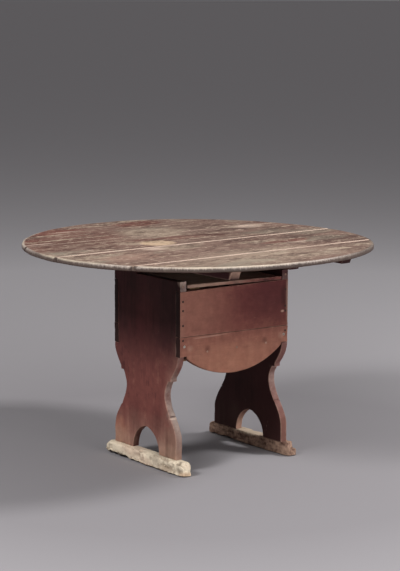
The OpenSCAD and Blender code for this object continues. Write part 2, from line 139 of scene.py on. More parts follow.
class HutchColours(bpy.types.PropertyGroup):
    """Colours of the paint, the bare wood and the iron."""

    # This colour is also painted shade: high up under the top, in the left panel's arch, on the
    # inner faces and on the right panel's ear
    paint_dark: colour_prop("Paint, Dark", "Red-brown paint with grime on it", "#3f1d1f")
    # This colour is also the painted shadow of the top on the front wall's upper right corner
    paint_red: colour_prop("Paint, Red", "Paint that nobody rubbed, still a deep red", "#5e2b2a")
    paint: colour_prop("Paint", "Old red-brown milk paint", "#70403a")
    # This colour is also painted light on the left end of the front wall
    paint_light: colour_prop("Paint, Light", "The same paint rubbed thin and chalky", "#8d5e50")
    paint_thin: colour_prop("Paint, Thin", "Thin paint with the pine showing through it", "#ad765f")
    # This colour is also painted light on the lid's front edge and in the right panel's arch
    paint_bare: colour_prop("Paint, Worn Through", "Stained pine under the rubbed paint", "#b59280")
    paint_greyed: colour_prop("Paint, Greyed", "Edges rubbed down to grey, stained pine", "#97827a")
    # This colour is also painted shade: under the top, on the faces that look down or inwards, and
    # along the left foot's sole
    end_grain: colour_prop("End Grain", "Sawn board ends, black with grime", "#22110f")
    top_red: colour_prop("Top, Red", "Paint left on the table top", "#794a3f")
    top_brown: colour_prop("Top, Brown", "Scrubbed paint on the table top", "#82675b")
    top_grey: colour_prop("Top, Grey", "Scrubbed, greyed wood of the table top", "#8b7d6e")
    # This colour is also painted light on the lid's top
    top_pale: colour_prop("Top, Pale", "The barest wood of the table top", "#beaa94")
    top_tan: colour_prop("Top, Tan", "Tan wood where a pot stood", "#cdb092")
    # This colour is also painted highlights on the steps of the end panels' front edges
    top_seam: colour_prop("Top, Seams", "Wood laid bare along the seams", "#d8beac")
    rim: colour_prop("Rim", "Handled, greyed wood around the rim", "#c6b8ad")
    # This colour is also the painted shade on the rim's lower half and ends
    rim_dark: colour_prop("Rim, Dark", "Dirt in the end grain around the rim", "#4b3f3a")
    under: colour_prop("Underside", "Bare pine under the top, dark with age", "#3f2a23")
    # This colour is also the painted highlight along the rim's upper edge
    bleached: colour_prop("Bleached Wood", "Weathered pine of the left foot", "#e8d8bf")
    damp: colour_prop("Damp Wood", "Grain and damp stains in the left foot", "#7d6656")
    rot: colour_prop("Rotted Wood", "Hollows and worm holes in the feet", "#5d493d")
    foot_tan: colour_prop("Tan Wood", "Worn pine of the right foot", "#aa8b77")
    foot_brown: colour_prop("Brown Wood", "Dirt in the grain of the right foot", "#54392f")
    inside: colour_prop("Inside Wood", "Bare pine inside the box", "#8a6a4c")
    inside_dark: colour_prop("Inside Wood, Dark", "Grain of the bare pine inside", "#5b4230")
    iron: colour_prop("Iron", "Dark, rusted nail heads", "#2c2422")
    iron_bright: colour_prop("Bright Iron", "Nail heads rubbed bright", "#c2bcb2")


def sizes():
    """The size settings of the open scene."""
    return bpy.context.scene.hutch_sizes


def colours():
    """The colour settings of the open scene."""
    return bpy.context.scene.hutch_colours


# Outlines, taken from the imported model

def cad_outline(node, axis):
    """The outer edge of a node's flat face at its low end along an axis, as ordered 2D points."""
    mesh = frame["nodes"][node].data
    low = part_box(node)[0][axis]
    place = [tuple(round(v.co[i] / TINY) for i in ACROSS[axis]) for v in mesh.vertices]
    edges = {}
    for face in mesh.polygons:
        if any(abs(mesh.vertices[i].co[axis] - low) > TINY for i in face.vertices):
            continue
        ring = [place[i] for i in face.vertices]
        for a, b in zip(ring, ring[1:] + ring[:1]):
            if (b, a) in edges:
                del edges[b, a]
            elif a != b:
                edges[a, b] = True
    follow = dict(edges.keys())
    loops = []
    while follow:
        start = next(iter(follow))
        loop = [start]
        point = follow.pop(start)
        while point != start:
            loop.append(point)
            point = follow.pop(point)
        loops.append([Vector(p) * TINY for p in loop])
    outer = max(loops, key=lambda loop: abs(signed_area(loop)))
    return outer if signed_area(outer) > 0 else outer[::-1]


def signed_area(loop):
    """Twice the signed area inside a loop of 2D points."""
    return sum(a.cross(b) for a, b in zip(loop, loop[1:] + loop[:1]))


def even_loop(loop, step, soften=2):
    """The loop with points a step apart, its corners kept and its round stretches softened."""
    count = len(loop)
    turn = [(loop[i] - loop[i - 1]).angle_signed(loop[(i + 1) % count] - loop[i], 0.0)
            for i in range(count)]
    corners = [i for i in range(count) if abs(turn[i]) > CORNER] or [0]
    points, fixed = [], []
    for k, first in enumerate(corners):
        last = corners[(k + 1) % len(corners)]
        reach = (last - first) % count or count
        span = [loop[(first + i) % count] for i in range(reach + 1)]
        lengths = np.cumsum([0.0] + [(b - a).length for a, b in zip(span, span[1:])])
        pieces = max(1, round(lengths[-1] / step))
        marks = np.linspace(0.0, lengths[-1], pieces + 1)[:-1]
        xs = np.interp(marks, lengths, [p[0] for p in span])
        ys = np.interp(marks, lengths, [p[1] for p in span])
        points += [Vector(p) for p in zip(xs, ys)]
        fixed += [len(corners) > 1] + [False] * (pieces - 1)
    for _ in range(soften):
        points = [p if keep else (points[i - 1] + p * 2 + points[(i + 1) % len(points)]) / 4
                  for i, (p, keep) in enumerate(zip(points, fixed))]
    return points


def rectangle(low, high, axis, step):
    """The outline of a box across an axis."""
    (a, b), (c, d) = [[corner[i] for i in ACROSS[axis]] for corner in (low, high)]
    return even_loop([Vector(p) for p in ((a, b), (c, b), (c, d), (a, d))], step, 0)


def offset_loop(loop, insets):
    """The loop with each point moved inwards by its own inset."""
    moved = []
    for i, (p, inset) in enumerate(zip(loop, insets)):
        before = (p - loop[i - 1]).normalized()
        after = (loop[(i + 1) % len(loop)] - p).normalized()
        inward = Vector((-before.y - after.y, before.x + after.x)).normalized()
        # A corner's point moves further, but never more than twice its inset
        square = max(inward.dot(Vector((-after.y, after.x))), 0.5)
        moved.append(p + inward * (inset / square))
    return moved


def outline_distance(points, loop):
    """Distance of each 2D point from the nearest side of a loop, negative outside it."""
    points = np.asarray(points, float)
    a = np.array([tuple(p) for p in loop])
    b = np.roll(a, -1, axis=0)
    best = np.full(len(points), 1e9)
    inside = np.zeros(len(points), bool)
    for start, end in zip(a, b):
        step = end - start
        t = np.clip(((points - start) @ step) / max(step @ step, 1e-12), 0, 1)
        best = np.minimum(best, np.linalg.norm(points - start - t[:, None] * step, axis=1))
        crosses = (start[1] > points[:, 1]) != (end[1] > points[:, 1])
        if crosses.any():
            at = start[0] + (points[:, 1] - start[1]) * step[0] / (step[1] or 1e-12)
            inside ^= crosses & (points[:, 0] < at)
    return np.where(inside, best, -best)


def islands(node):
    """The lowest and highest corner of each separate solid in a node."""
    mesh = frame["nodes"][node].data
    key = [tuple(round(c / TINY) for c in v.co) for v in mesh.vertices]
    parent = {k: k for k in key}

    def root(k):
        while parent[k] != k:
            parent[k] = parent[parent[k]]
            k = parent[k]
        return k

    for face in mesh.polygons:
        first = root(key[face.vertices[0]])
        for i in face.vertices[1:]:
            parent[root(key[i])] = first
    groups = {}
    for k, v in zip(key, mesh.vertices):
        groups.setdefault(root(k), []).append(tuple(v.co))
    boxes = [(Vector(np.min(group, axis=0)), Vector(np.max(group, axis=0)))
             for group in groups.values()]
    return sorted(boxes, key=lambda box: tuple(round(c, 4) for c in box[0]))


def turned_box(node, turn):
    """The box of a node in the frame that a turn leads out of."""
    back = turn.inverted()
    co = np.array([tuple(back @ v.co) for v in frame["nodes"][node].data.vertices])
    return Vector(co.min(axis=0)), Vector(co.max(axis=0))


# Meshes

def lifted(point, axis, level):
    """A 2D point of an outline, put back into space at a level along the axis."""
    co = list(point)
    co.insert(axis, level)
    return co


def bridge(bm, lower, upper):
    """Adds the faces between two rings of vertices."""
    for i in range(len(lower)):
        j = (i + 1) % len(lower)
        bm.faces.new((lower[i], lower[j], upper[j], upper[i]))


# Behind an edge lie two close rows of points and then the wide grid, as shares of a margin.
# A row's point is left out where another side of the outline comes nearer than its own.
CLOSE_ROWS = (1.0, 2.5)
ROW_KEPT = 0.85
GRID_FROM = 3.5


def cap(bm, ring, axis, cell, margin):
    """Fills a ring of vertices with triangles, small along the edge and larger inside."""
    level = ring[0].co[axis]
    loop = [Vector([v.co[i] for i in ACROSS[axis]]) for v in ring]
    extra = []
    for share in CLOSE_ROWS:
        inset = margin * share
        moved = [tuple(p) for p in offset_loop(loop, [inset] * len(loop))]
        keep = outline_distance(moved, loop) > inset * ROW_KEPT
        extra += [p for p, good in zip(moved, keep) if good]
    low, high = np.min(loop, axis=0), np.max(loop, axis=0)
    xs, ys = [np.linspace(low[i], high[i], max(2, round((high[i] - low[i]) / cell) + 1))
              for i in (0, 1)]
    grid = [(x + (cell / 2 if j % 2 else 0.0), y) for j, y in enumerate(ys) for x in xs]
    far = outline_distance(grid, loop) > margin * GRID_FROM
    extra += [p for p, good in zip(grid, far) if good]
    sides = [(i, (i + 1) % len(loop)) for i in range(len(loop))]
    points, _, faces, origin, _, _ = delaunay_2d_cdt(
        loop + [Vector(p) for p in extra], sides, [], 1, 1e-7)
    verts = []
    for point, sources in zip(points, origin):
        edge = [i for i in sources if i < len(loop)]
        verts.append(ring[edge[0]] if edge else bm.verts.new(lifted(point, axis, level)))
    for face in faces:
        corners = [verts[i] for i in face]
        if len(set(corners)) == 3:
            bm.faces.new(corners)


# Inset and depth of a rounded edge, as shares of its radius, from the face to the side
ARC = [(1 - math.sin(a), 1 - math.cos(a)) for a in (0.0, math.pi / 6, math.pi / 3, math.pi / 2)]


def plate(loop, axis, low, high, low_arris, high_arris, rows, cell, margin=3 * MM):
    """A plate on an outline; the arris lists give the rounding of its two edges at each point."""
    bm = bmesh.new()
    layers = [([r * inset for r in low_arris], [low + r * depth for r in low_arris])
              for inset, depth in ARC]
    for k in range(1, rows + 1):
        share = k / (rows + 1)
        layers.append(([0.0] * len(loop), [(low + a) * (1 - share) + (high - b) * share
                                           for a, b in zip(low_arris, high_arris)]))
    layers += [([r * inset for r in high_arris], [high - r * depth for r in high_arris])
               for inset, depth in reversed(ARC)]
    rings = [[bm.verts.new(lifted(point, axis, level))
              for point, level in zip(offset_loop(loop, insets), levels)]
             for insets, levels in layers]
    for lower, upper in zip(rings, rings[1:]):
        bridge(bm, lower, upper)
    for ring in (rings[0], rings[-1]):
        cap(bm, ring, axis, cell, margin)
    bmesh.ops.recalc_face_normals(bm, faces=bm.faces[:])
    return bm


# Waves to the metre of the slow, quick and fine unevenness of a worn board
WEAR_SCALES = (9.0, 42.0, 110.0)


def wear(bm, loop, axis, low, high, arris, chip, wave, seed):
    """Waves the faces, dents the edges and keeps in a layer how near each point is to an edge."""
    bm.normal_update()
    co = np.array([v.co for v in bm.verts])
    inside = np.maximum(outline_distance(co[:, ACROSS[axis]], loop), 0.0)
    depth = np.maximum(np.minimum(co[:, axis] - low, high - co[:, axis]), 0.0)
    gap = np.maximum(inside, depth)
    edge = np.clip(1.0 - gap / (arris + 3 * MM), 0.0, 1.0)
    wide = np.clip(1.0 - gap / sizes().wear_reach, 0.0, 1.0)
    layer = bm.verts.layers.float.new("arris")
    offset = Vector((seed * 3.17, seed * 1.31, seed * 2.03))
    for v, near, around in zip(bm.verts, edge, wide):
        slow, quick, fine = [noise.noise(v.co * scale + offset) for scale in WEAR_SCALES]
        # Broad dents along the edge, and small chips right on it
        broad = max(0.0, quick + slow * 0.6 - 0.12) * around ** 2
        small = max(0.0, fine + quick * 0.5) * near * 0.35
        v.co += v.normal * (wave * (slow - 0.6) - chip * min(broad + small, 1.0))
        v[layer] = near


def to_object(name, bm, turn=None, sharp=40.0):
    """A new object from a bmesh, smooth apart from its sharp edges."""
    if turn:
        bmesh.ops.transform(bm, matrix=turn, verts=bm.verts[:])
    mesh = bpy.data.meshes.new(name)
    bm.to_mesh(mesh)
    bm.free()
    obj = bpy.data.objects.new(name, mesh)
    bpy.context.scene.collection.objects.link(obj)
    shade(obj, sharp)
    return obj


def shade(obj, sharp=40.0):
    """Smooth shading with the sharper edges kept."""
    obj.data.polygons.foreach_set("use_smooth", [True] * len(obj.data.polygons))
    obj.data.set_sharp_from_angle(angle=math.radians(sharp))


def keep_inside(obj, node):
    """Holds every point of a piece inside the box of the node that it replaces."""
    co = np.empty(len(obj.data.vertices) * 3, np.float32)
    obj.data.vertices.foreach_get("co", co)
    low, high = [np.array(corner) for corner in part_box(node)]
    co = np.clip(co.reshape(-1, 3), low, high).astype(np.float32)
    obj.data.vertices.foreach_set("co", co.ravel())
    obj.data.update()


def dress(obj, node, material):
    """Puts a piece in the place of its node, on its body and with its finish."""
    obj.data.materials.append(material)
    keep_inside(obj, node)
    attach(obj, frame["nodes"][node]["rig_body"])
    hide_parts(node)
    return obj


def dress_small(name, bm, node, material, sharp=40.0):
    """Puts the pins or nails of one mesh in the place of their node."""
    bmesh.ops.recalc_face_normals(bm, faces=bm.faces[:])
    dress(to_object(name, bm, sharp=sharp), node, material)


def worn_board(node, axis, material, seed, arris, edge_of=None, step=6.5 * MM, rows=1,
               chip=1.0, turn=None):
    """A board in the shape of its node; edge_of gives the rounding at each outline point."""
    settings = sizes()
    if turn:
        low, high = turned_box(node, turn)
        loop = rectangle(low, high, axis, step)
    else:
        low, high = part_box(node)
        loop = even_loop(cad_outline(node, axis), step)
    low, high = low[axis], high[axis]
    rounding = [edge_of(p) if edge_of else arris for p in loop]
    bm = plate(loop, axis, low, high, rounding, rounding, rows, settings.cell)
    wear(bm, loop, axis, low, high, arris, settings.chip * chip, settings.wave, seed)
    return dress(to_object("worn_" + node, bm, turn), node, material)


BORE_SIDES = 32


def bore(obj, start, end, radius):
    """Cuts a round hole through a piece."""
    bm = bmesh.new()
    way = end - start
    bmesh.ops.create_cone(bm, cap_ends=True, segments=BORE_SIDES, radius1=radius, radius2=radius,
                          depth=way.length)
    turn = way.to_track_quat("Z", "Y").to_matrix().to_4x4()
    turn.translation = (start + end) / 2
    cutter = to_object("cutter", bm, turn)
    modifier = obj.modifiers.new("bore", "BOOLEAN")
    modifier.operation, modifier.object, modifier.solver = "DIFFERENCE", cutter, "EXACT"
    graph = bpy.context.evaluated_depsgraph_get()
    mesh = bpy.data.meshes.new_from_object(obj.evaluated_get(graph))
    old = obj.data
    obj.modifiers.clear()
    obj.data = mesh
    mesh.name = old.name
    bpy.data.meshes.remove(old)
    bpy.data.objects.remove(cutter)
    shade(obj)


def rounds(node, axis):
    """Each level of a turned node along its axis, with its greatest radius there."""
    low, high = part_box(node)
    middle = (low + high) / 2
    found = {}
    for v in frame["nodes"][node].data.vertices:
        level = round(v.co[axis] / TINY) * TINY
        reach = math.hypot(*(v.co[i] - middle[i] for i in ACROSS[axis]))
        found[level] = max(found.get(level, 0.0), reach)
    return sorted(found.items())


def ring_around(bm, centre, side, other, count, reach):
    """A ring of vertices about a centre; reach gives its radius at an angle."""
    ring = []
    for k in range(count):
        a = math.tau * k / count
        out = reach(a)
        ring.append(bm.verts.new(centre + side * (math.cos(a) * out) + other * (math.sin(a) * out)))
    return ring


PIN_SIDES = 20


def whittled_pin(bm, start, end, radius, seed):
    """One knife-cut round pin between two points, its ends chamfered."""
    way = (end - start).normalized()
    side = way.orthogonal().normalized()
    other = way.cross(side)
    length = (end - start).length
    chamfer = min(radius * 0.22, length * 0.2)
    rings = []
    for at, share in ((0.0, 0.8), (chamfer, 1.0), (length / 2, 0.985), (length - chamfer, 1.0),
                      (length, 0.8)):
        def reach(a, at=at, share=share):
            place = Vector((math.cos(a), math.sin(a), at * 12)) + Vector((seed, 0, 0))
            return radius * share * (0.97 + 0.03 * noise.noise(place * 2.4))
        rings.append(ring_around(bm, start + way * at, side, other, PIN_SIDES, reach))
    for a, b in zip(rings, rings[1:]):
        bridge(bm, a, b)
    bm.faces.new(rings[0])
    bm.faces.new(rings[-1])


# Each ring of a nail's head: how far it lies below the top, in mm, and its share of the radius
HEAD_RINGS = ((0.1, 0.5), (0.28, 0.84), (0.7, 1.0), (1.9, 0.95))
# Where the shank starts below the head's top, and its half widths at head and point, in mm
SHANK_TOP, SHANK_HALF, POINT_HALF = 1.5, 1.2, 0.5


def forged_nail(bm, head_at, facing, length, radius, seed, facets):
    """One cut nail: an uneven head, domed or hammered in facets, on a square shank that tapers."""
    side = facing.orthogonal().normalized()
    other = facing.cross(side)
    offset = Vector((seed * 1.7, seed * 0.9, seed * 2.3))
    rings = []
    for drop, share in HEAD_RINGS:
        def reach(a, share=share):
            around = Vector((math.cos(a), math.sin(a), 0.0))
            return radius * share * min(1.0 + 0.22 * noise.noise(offset + around * 1.6), 1.0)
        rings.append(ring_around(bm, head_at - facing * (drop * MM), side, other, facets, reach))
    for a, b in zip(rings, rings[1:]):
        bridge(bm, a, b)
    peak = bm.verts.new(head_at)
    for k in range(facets):
        bm.faces.new((rings[0][(k + 1) % facets], rings[0][k], peak))
    bm.faces.new(rings[-1])
    shank = [[bm.verts.new(head_at - facing * drop + side * (sx * half) + other * (sy * half))
              for sx, sy in ((1, 1), (-1, 1), (-1, -1), (1, -1))]
             for drop, half in ((SHANK_TOP * MM, SHANK_HALF * MM), (length, POINT_HALF * MM))]
    bridge(bm, *shank)
    for ring in shank:
        bm.faces.new(ring)


def nails(node, facing, material, facets=14, painted=None):
    """All the nails of a node: facing gives the way a head looks, painted its share of paint."""
    bm = bmesh.new()
    layer = bm.verts.layers.float.new("painted")
    for index, (low, high) in enumerate(islands(node)):
        middle = (low + high) / 2
        way = facing(middle)
        axis = max(range(3), key=lambda i: abs(way[i]))
        head = middle.copy()
        head[axis] = high[axis] if way[axis] > 0 else low[axis]
        radius = min(high[i] - low[i] for i in ACROSS[axis]) / 2
        first = len(bm.verts)
        forged_nail(bm, head, way, high[axis] - low[axis], radius, index + len(node), facets)
        bm.verts.ensure_lookup_table()
        for v in bm.verts[first:]:
            v[layer] = painted(middle) if painted else 0.0
    # A head hammered in a few facets keeps their edges crisp
    sharp = 50.0 if facets > 8 else 20.0
    dress_small("forged_" + node, bm, node, material, sharp)


# Materials

def add_node(tree, kind, inputs=(), out=None, ramp=(), **settings):
    """Adds a node and gives back one output: the one that out names, or the first in use.

    The inputs are values or other nodes' outputs, by name or in the order of those in use.
    """
    node = tree.nodes.new("ShaderNode" + kind)
    for name, value in settings.items():
        setattr(node, name, value)
    for _ in ramp[2:]:
        node.color_ramp.elements.new(0.5)
    for number, (position, colour) in enumerate(ramp):
        stop = node.color_ramp.elements[number]
        stop.position, stop.color = position, colour
    if isinstance(inputs, dict):
        pairs = [(node.inputs[name], value) for name, value in inputs.items()]
    else:
        pairs = zip([socket for socket in node.inputs if socket.enabled], inputs)
    for socket, value in pairs:
        if isinstance(value, bpy.types.NodeSocket):
            tree.links.new(value, socket)
        else:
            socket.default_value = value
    if out is not None:
        return node.outputs[out]
    return next((socket for socket in node.outputs if socket.enabled), None)


def new_material(name):
    """A node material without nodes, and the function that adds a node to it."""
    material = bpy.data.materials.new(name)
    material.use_nodes = True
    material.node_tree.nodes.clear()
    return material, partial(add_node, material.node_tree)


def marks(add, coord, spacing, detail, roughness, along=Z, share=1.0):
    """Uneven marks, their spacing in mm, squeezed along one axis to draw them out into fibres.

    Detail is how many finer layers lie on them, and roughness how strong those are.
    """
    scale = tuple(share if axis == along else 1.0 for axis in range(3))
    squeezed = add("VectorMath", (coord, scale), operation="MULTIPLY")
    return add("TexNoise", (squeezed, 1 / (spacing * MM), detail, roughness))


# A stain's edge lies at this share of its reaches before the noise tears it
STAIN_EDGE = 0.95


def spot(add, coord, noise_value, place, ragged, soft):
    """A mask over a stain: place gives its middle from the base's middle and its reaches, in mm."""
    centre = [BASE_X + place[0] * MM, BASE_Y + place[1] * MM, place[2] * MM]
    reaches = [reach * MM for reach in place[3:]]
    scale = tuple(1 / reach for reach in reaches)
    shift = tuple(-c / reach for c, reach in zip(centre, reaches))
    local = add("VectorMath", (coord, scale, shift), operation="MULTIPLY_ADD")
    distance = add("VectorMath", (local,), operation="LENGTH")
    torn = add("Math", (noise_value, ragged * 2, -ragged), operation="MULTIPLY_ADD")
    edge = add("Math", (distance, torn), operation="ADD")
    return add("MapRange", (edge, STAIN_EDGE - soft, STAIN_EDGE + soft, 1.0, 0.0))


def stained(add, coord, noise_value, colour, stains):
    """The colour with each stain laid over it: place, colour, strength, raggedness and softness."""
    for *place, key, strength, ragged, soft in stains:
        inside = spot(add, coord, noise_value, place, ragged, soft)
        mask = add("Math", (inside, strength), operation="MULTIPLY")
        colour = add("Mix", (mask, colour, getattr(colours(), key)), data_type="RGBA")
    return colour


def facing_mask(add, normal, axis, low=0.6, high=0.9):
    """A mask over the faces that look along an axis, either way."""
    side = add("SeparateXYZ", (normal,), axis)
    return add("MapRange", (add("Math", (side,), operation="ABSOLUTE"), low, high))


def surface(add, colour, height, roughness, shine, depth, strength, metallic=0.0):
    """Ends a material: its shader, and a relief whose depth is in mm."""
    bump = add("Bump", {"Strength": strength, "Distance": depth * MM, "Height": height})
    shader = add("BsdfPrincipled", {
        "Base Color": colour, "Metallic": metallic, "Roughness": roughness,
        "Specular IOR Level": shine, "Normal": bump})
    add("OutputMaterial", {"Surface": shader})


# Milk paint, brushed on pine and rubbed by two centuries of hands: dull and chalky, streaked a
# little by the brush, grimy high up where nobody touched it and darkened there by painted shade
# from the top, thin and tan low down where brooms and boots met it, rubbed pale along the edges and
# black on the sawn ends. Painted shade also darkens the undersides and the faces inside the box.
def milk_paint(name, along, end=None, low=None, grime_and_shade=None, tone=0.0, rub=0.8, rubbed_face=None,
               inner=False, shaded=0.85, stains=()):
    """The grain runs along one axis and the sawn ends look along end; heights are in mm.

    rub is how bare the edges are, tone lightens the paint and shaded is how much shade is painted
    on the faces that look down.
    """
    material, add = new_material(name)
    hues = colours()
    coord, normal = add("TexCoord", out="Object"), add("TexCoord", out="Normal")
    x, y, z = [add("SeparateXYZ", (coord,), axis) for axis in (X, Y, Z)]
    cloud = marks(add, coord, 142.9, 6.0, 0.62)
    mottle = marks(add, coord, 26.32, 5.0, 0.65)
    # Brush marks lie 17 mm apart. The fibres of pine are finer than a pixel: they are drawn 3 mm
    # apart, as coarse as the render needs to show them.
    brush = marks(add, coord, 16.67, 4.0, 0.55, along, 0.07)
    fibre = marks(add, coord, 3.03, 3.0, 0.6, along, 0.07)
    drips = marks(add, coord, 20.83, 4.0, 0.6, Z, 0.08)
    soft = cloud
    for share, other in ((0.28, brush), (0.25, drips), (0.16, mottle)):
        soft = add("Mix", (share, soft, other))
    soft = add("Math", (soft, 1.4, tone - 0.2), operation="MULTIPLY_ADD")
    paint = add("ValToRGB", (soft,), ramp=(
        (0.33, hues.paint_dark), (0.46, hues.paint), (0.56, hues.paint), (0.72, hues.paint_light)))
    if grime_and_shade:
        # Grime and painted shade from the top, high up: none at the first height, full at the
        # second; drips make its edge sway
        sway = 160 * MM
        start, full = [height * MM + sway / 2 for height in grime_and_shade]
        height = add("Math", (drips, sway, z), operation="MULTIPLY_ADD")
        dirt_and_shade = add("MapRange", (height, start, full, 0.0, 0.9))
        grime_and_shade_colour = add("Mix", (add("MapRange", (drips, 0.38, 0.58, 0.3, 1.0)),
                           hues.end_grain, hues.paint_dark), data_type="RGBA")
        paint = add("Mix", (dirt_and_shade, paint, grime_and_shade_colour), data_type="RGBA")
        rub = add("Math", (dirt_and_shade, -rub, rub), operation="MULTIPLY_ADD")
    if low:
        # Thin paint near the floor: full at the first height, gone at the second
        sway = 120 * MM
        full, gone = [height * MM + sway / 2 for height in low]
        height = add("Math", (cloud, sway, z), operation="MULTIPLY_ADD")
        thin = add("Math", (add("MapRange", (height, full, gone, 0.62, 0.0)),
                            add("MapRange", (drips, 0.38, 0.62, 0.6, 1.35))), operation="MULTIPLY")
        wood = add("Mix", (brush, hues.paint_light, hues.paint_bare), data_type="RGBA")
        paint = add("Mix", (thin, paint, wood), data_type="RGBA")
    near = add("Attribute", out="Fac", attribute_name="arris")
    broken = add("Math", (add("Math", (mottle, 0.5), operation="SUBTRACT"), near), operation="ADD")
    worn = add("MapRange", (broken, 0.42, 0.85, 0.0, rub))
    if rubbed_face is not None:
        # Edges that hands and knees reach, but not the inside of the arch
        face = facing_mask(add, normal, rubbed_face)
        out = add("Math", (add("Math", (y, BASE_Y), operation="SUBTRACT"),), operation="ABSOLUTE")
        reached = add("MapRange", (out, 85 * MM, 100 * MM))
        handled = add("Math", (face, add("MapRange", (mottle, 0.3, 0.62, 0.25, 0.85))),
                      operation="MULTIPLY")
        handled = add("Math", (handled, reached), operation="MULTIPLY")
        paint = add("Mix", (handled, paint, hues.paint_greyed), data_type="RGBA")
        # Painted shade: the inside of the left panel's arch is kept dark
        arch = add("Math", (face, add("Math", (1.0, reached), operation="SUBTRACT")),
                   operation="MULTIPLY")
        left = add("MapRange", (x, BASE_X - 50 * MM, BASE_X + 50 * MM, 0.75, 0.0))
        arch = add("Math", (arch, left), operation="MULTIPLY")
        paint = add("Mix", (arch, paint, hues.paint_dark), data_type="RGBA")
    # Painted shade on the faces that look down
    down = add("MapRange", (add("SeparateXYZ", (normal,), Z), -0.15, -0.5, 0.0, shaded))
    paint = add("Mix", (down, paint, hues.end_grain), data_type="RGBA")
    paint = stained(add, coord, cloud, paint, stains)
    paint = add("Mix", (0.3, paint, mottle), data_type="RGBA", blend_type="OVERLAY")
    if inner:
        # Painted shade on the faces that look towards the middle of the box
        towards = add("Math", (add("Math", (x, BASE_X), operation="SUBTRACT"),
                               add("SeparateXYZ", (normal,), X)), operation="MULTIPLY")
        inner_shade_colour = add("Mix", (cloud, hues.end_grain, hues.paint_dark), data_type="RGBA")
        inner_shade_mask = add("MapRange", (towards, -120 * MM, -180 * MM, 0.0, 0.9))
        paint = add("Mix", (inner_shade_mask, paint, inner_shade_colour), data_type="RGBA")
    if end is not None:
        cut = add("Math", (1.0, facing_mask(add, normal, end, 0.2, 0.5)), operation="SUBTRACT")
        worn = add("Math", (worn, cut), operation="MULTIPLY")
        # The sawn ends are near black: dark end grain, darkened further as painted shade
        sawn = add("Math", (facing_mask(add, normal, end, 0.5, 0.9), 0.96), operation="MULTIPLY")
        paint = add("Mix", (sawn, paint, hues.end_grain), data_type="RGBA")
    colour = add("Mix", (worn, paint, hues.paint_bare), data_type="RGBA")
    specks = add("ValToRGB", (fibre,), ramp=((0.3, linear("#eae7e7")), (0.5, linear("#ffffff"))))
    colour = add("Mix", (0.5, colour, specks), data_type="RGBA", blend_type="MULTIPLY")
    scratch = marks(add, coord, 8.333, 2.0, 0.5, along, 0.2)
    scratch = add("MapRange", (scratch, 0.74, 0.8, 0.0, 0.35))
    colour = add("Mix", (scratch, colour, hues.paint_bare), data_type="RGBA")
    surface(add, colour, add("Mix", (0.5, brush, fibre)), roughness=0.72, shine=0.2, depth=0.5,
            strength=0.4)
    return material


# Stains on the top: middle and reaches in mm, colour, strength, raggedness and softness
TOP_SPOTS = (
    (-330, 330, 300, 250, "top_brown", 0.8, 0.9, 0.4),
    (-330, 330, 280, 210, "top_red", 0.5, 1.4, 0.4),
    (-60, -380, 330, 130, "top_pale", 0.4, 1.4, 0.4),
    (-300, 500, 150, 60, "top_red", 0.85, 1.1, 0.2),
    (-480, 330, 90, 50, "top_red", 0.8, 1.2, 0.2),
    (95, 505, 105, 60, "top_red", 0.9, 0.9, 0.15),
    (5, 285, 130, 105, "top_pale", 0.62, 1.0, 0.25),
    (-400, 250, 150, 130, "under", 0.34, 1.0, 0.3),
    (-215, 105, 50, 50, "top_pale", 0.6, 0.9, 0.2),
    (-150, -65, 90, 40, "top_pale", 0.5, 1.0, 0.25),
    (465, -250, 150, 120, "under", 0.5, 0.9, 0.3),
    (375, -400, 150, 75, "under", 0.4, 0.9, 0.3),
    (240, -190, 90, 30, "under", 0.35, 0.9, 0.3),
    (340, -125, 90, 50, "under", 0.4, 0.9, 0.3),
    (250, -350, 180, 110, "top_brown", 0.5, 1.2, 0.3),
    (120, -115, 50, 40, "under", 0.3, 0.9, 0.3),
    (-420, -150, 120, 66, "paint_bare", 0.5, 1.3, 0.4),
    (-60, 120, 200, 40, "top_red", 0.55, 1.2, 0.2),
    (250, -165, 120, 34, "top_red", 0.75, 0.8, 0.15),
    (408, -176, 90, 42, "top_grey", 0.7, 0.9, 0.2),
    (470, -20, 120, 70, "top_grey", 0.7, 1.1, 0.2),
    (500, 120, 110, 110, "top_brown", 0.8, 1.1, 0.3),
    (330, 60, 110, 40, "top_grey", 0.7, 1.1, 0.2),
    (260, -200, 46, 14, "top_seam", 0.7, 0.8, 0.15),
    (385, 215, 60, 40, "top_seam", 0.8, 1.0, 0.25),
    (300, 0, 330, 200, "under", 0.28, 1.5, 0.4),
    (120, 330, 300, 200, "under", 0.2, 1.4, 0.4),
    (-480, 270, 60, 9, "top_seam", 0.7, 0.6, 0.15),
    (-240, 470, 70, 8, "top_seam", 0.7, 0.9, 0.15),
    (-237, -42, 38, 36, "top_seam", 0.8, 0.8, 0.4),
    (-423, 56, 13, 12, "top_seam", 0.75, 0.5, 0.15),
    (255, -411, 60, 14, "top_pale", 0.7, 0.7, 0.15),
    (-145, 56, 66, 60, "top_tan", 0.92, 0.14, 0.1),
)
TOP_HEIGHT, SPOT_DEPTH = 745, 60
TOP_STAINS = [(x, y, TOP_HEIGHT, rx, ry, SPOT_DEPTH, *rest) for x, y, rx, ry, *rest in TOP_SPOTS]
# How bare each seam is rubbed, from the front
SEAM_STRENGTH = (0.95, 0.95, 0.25)
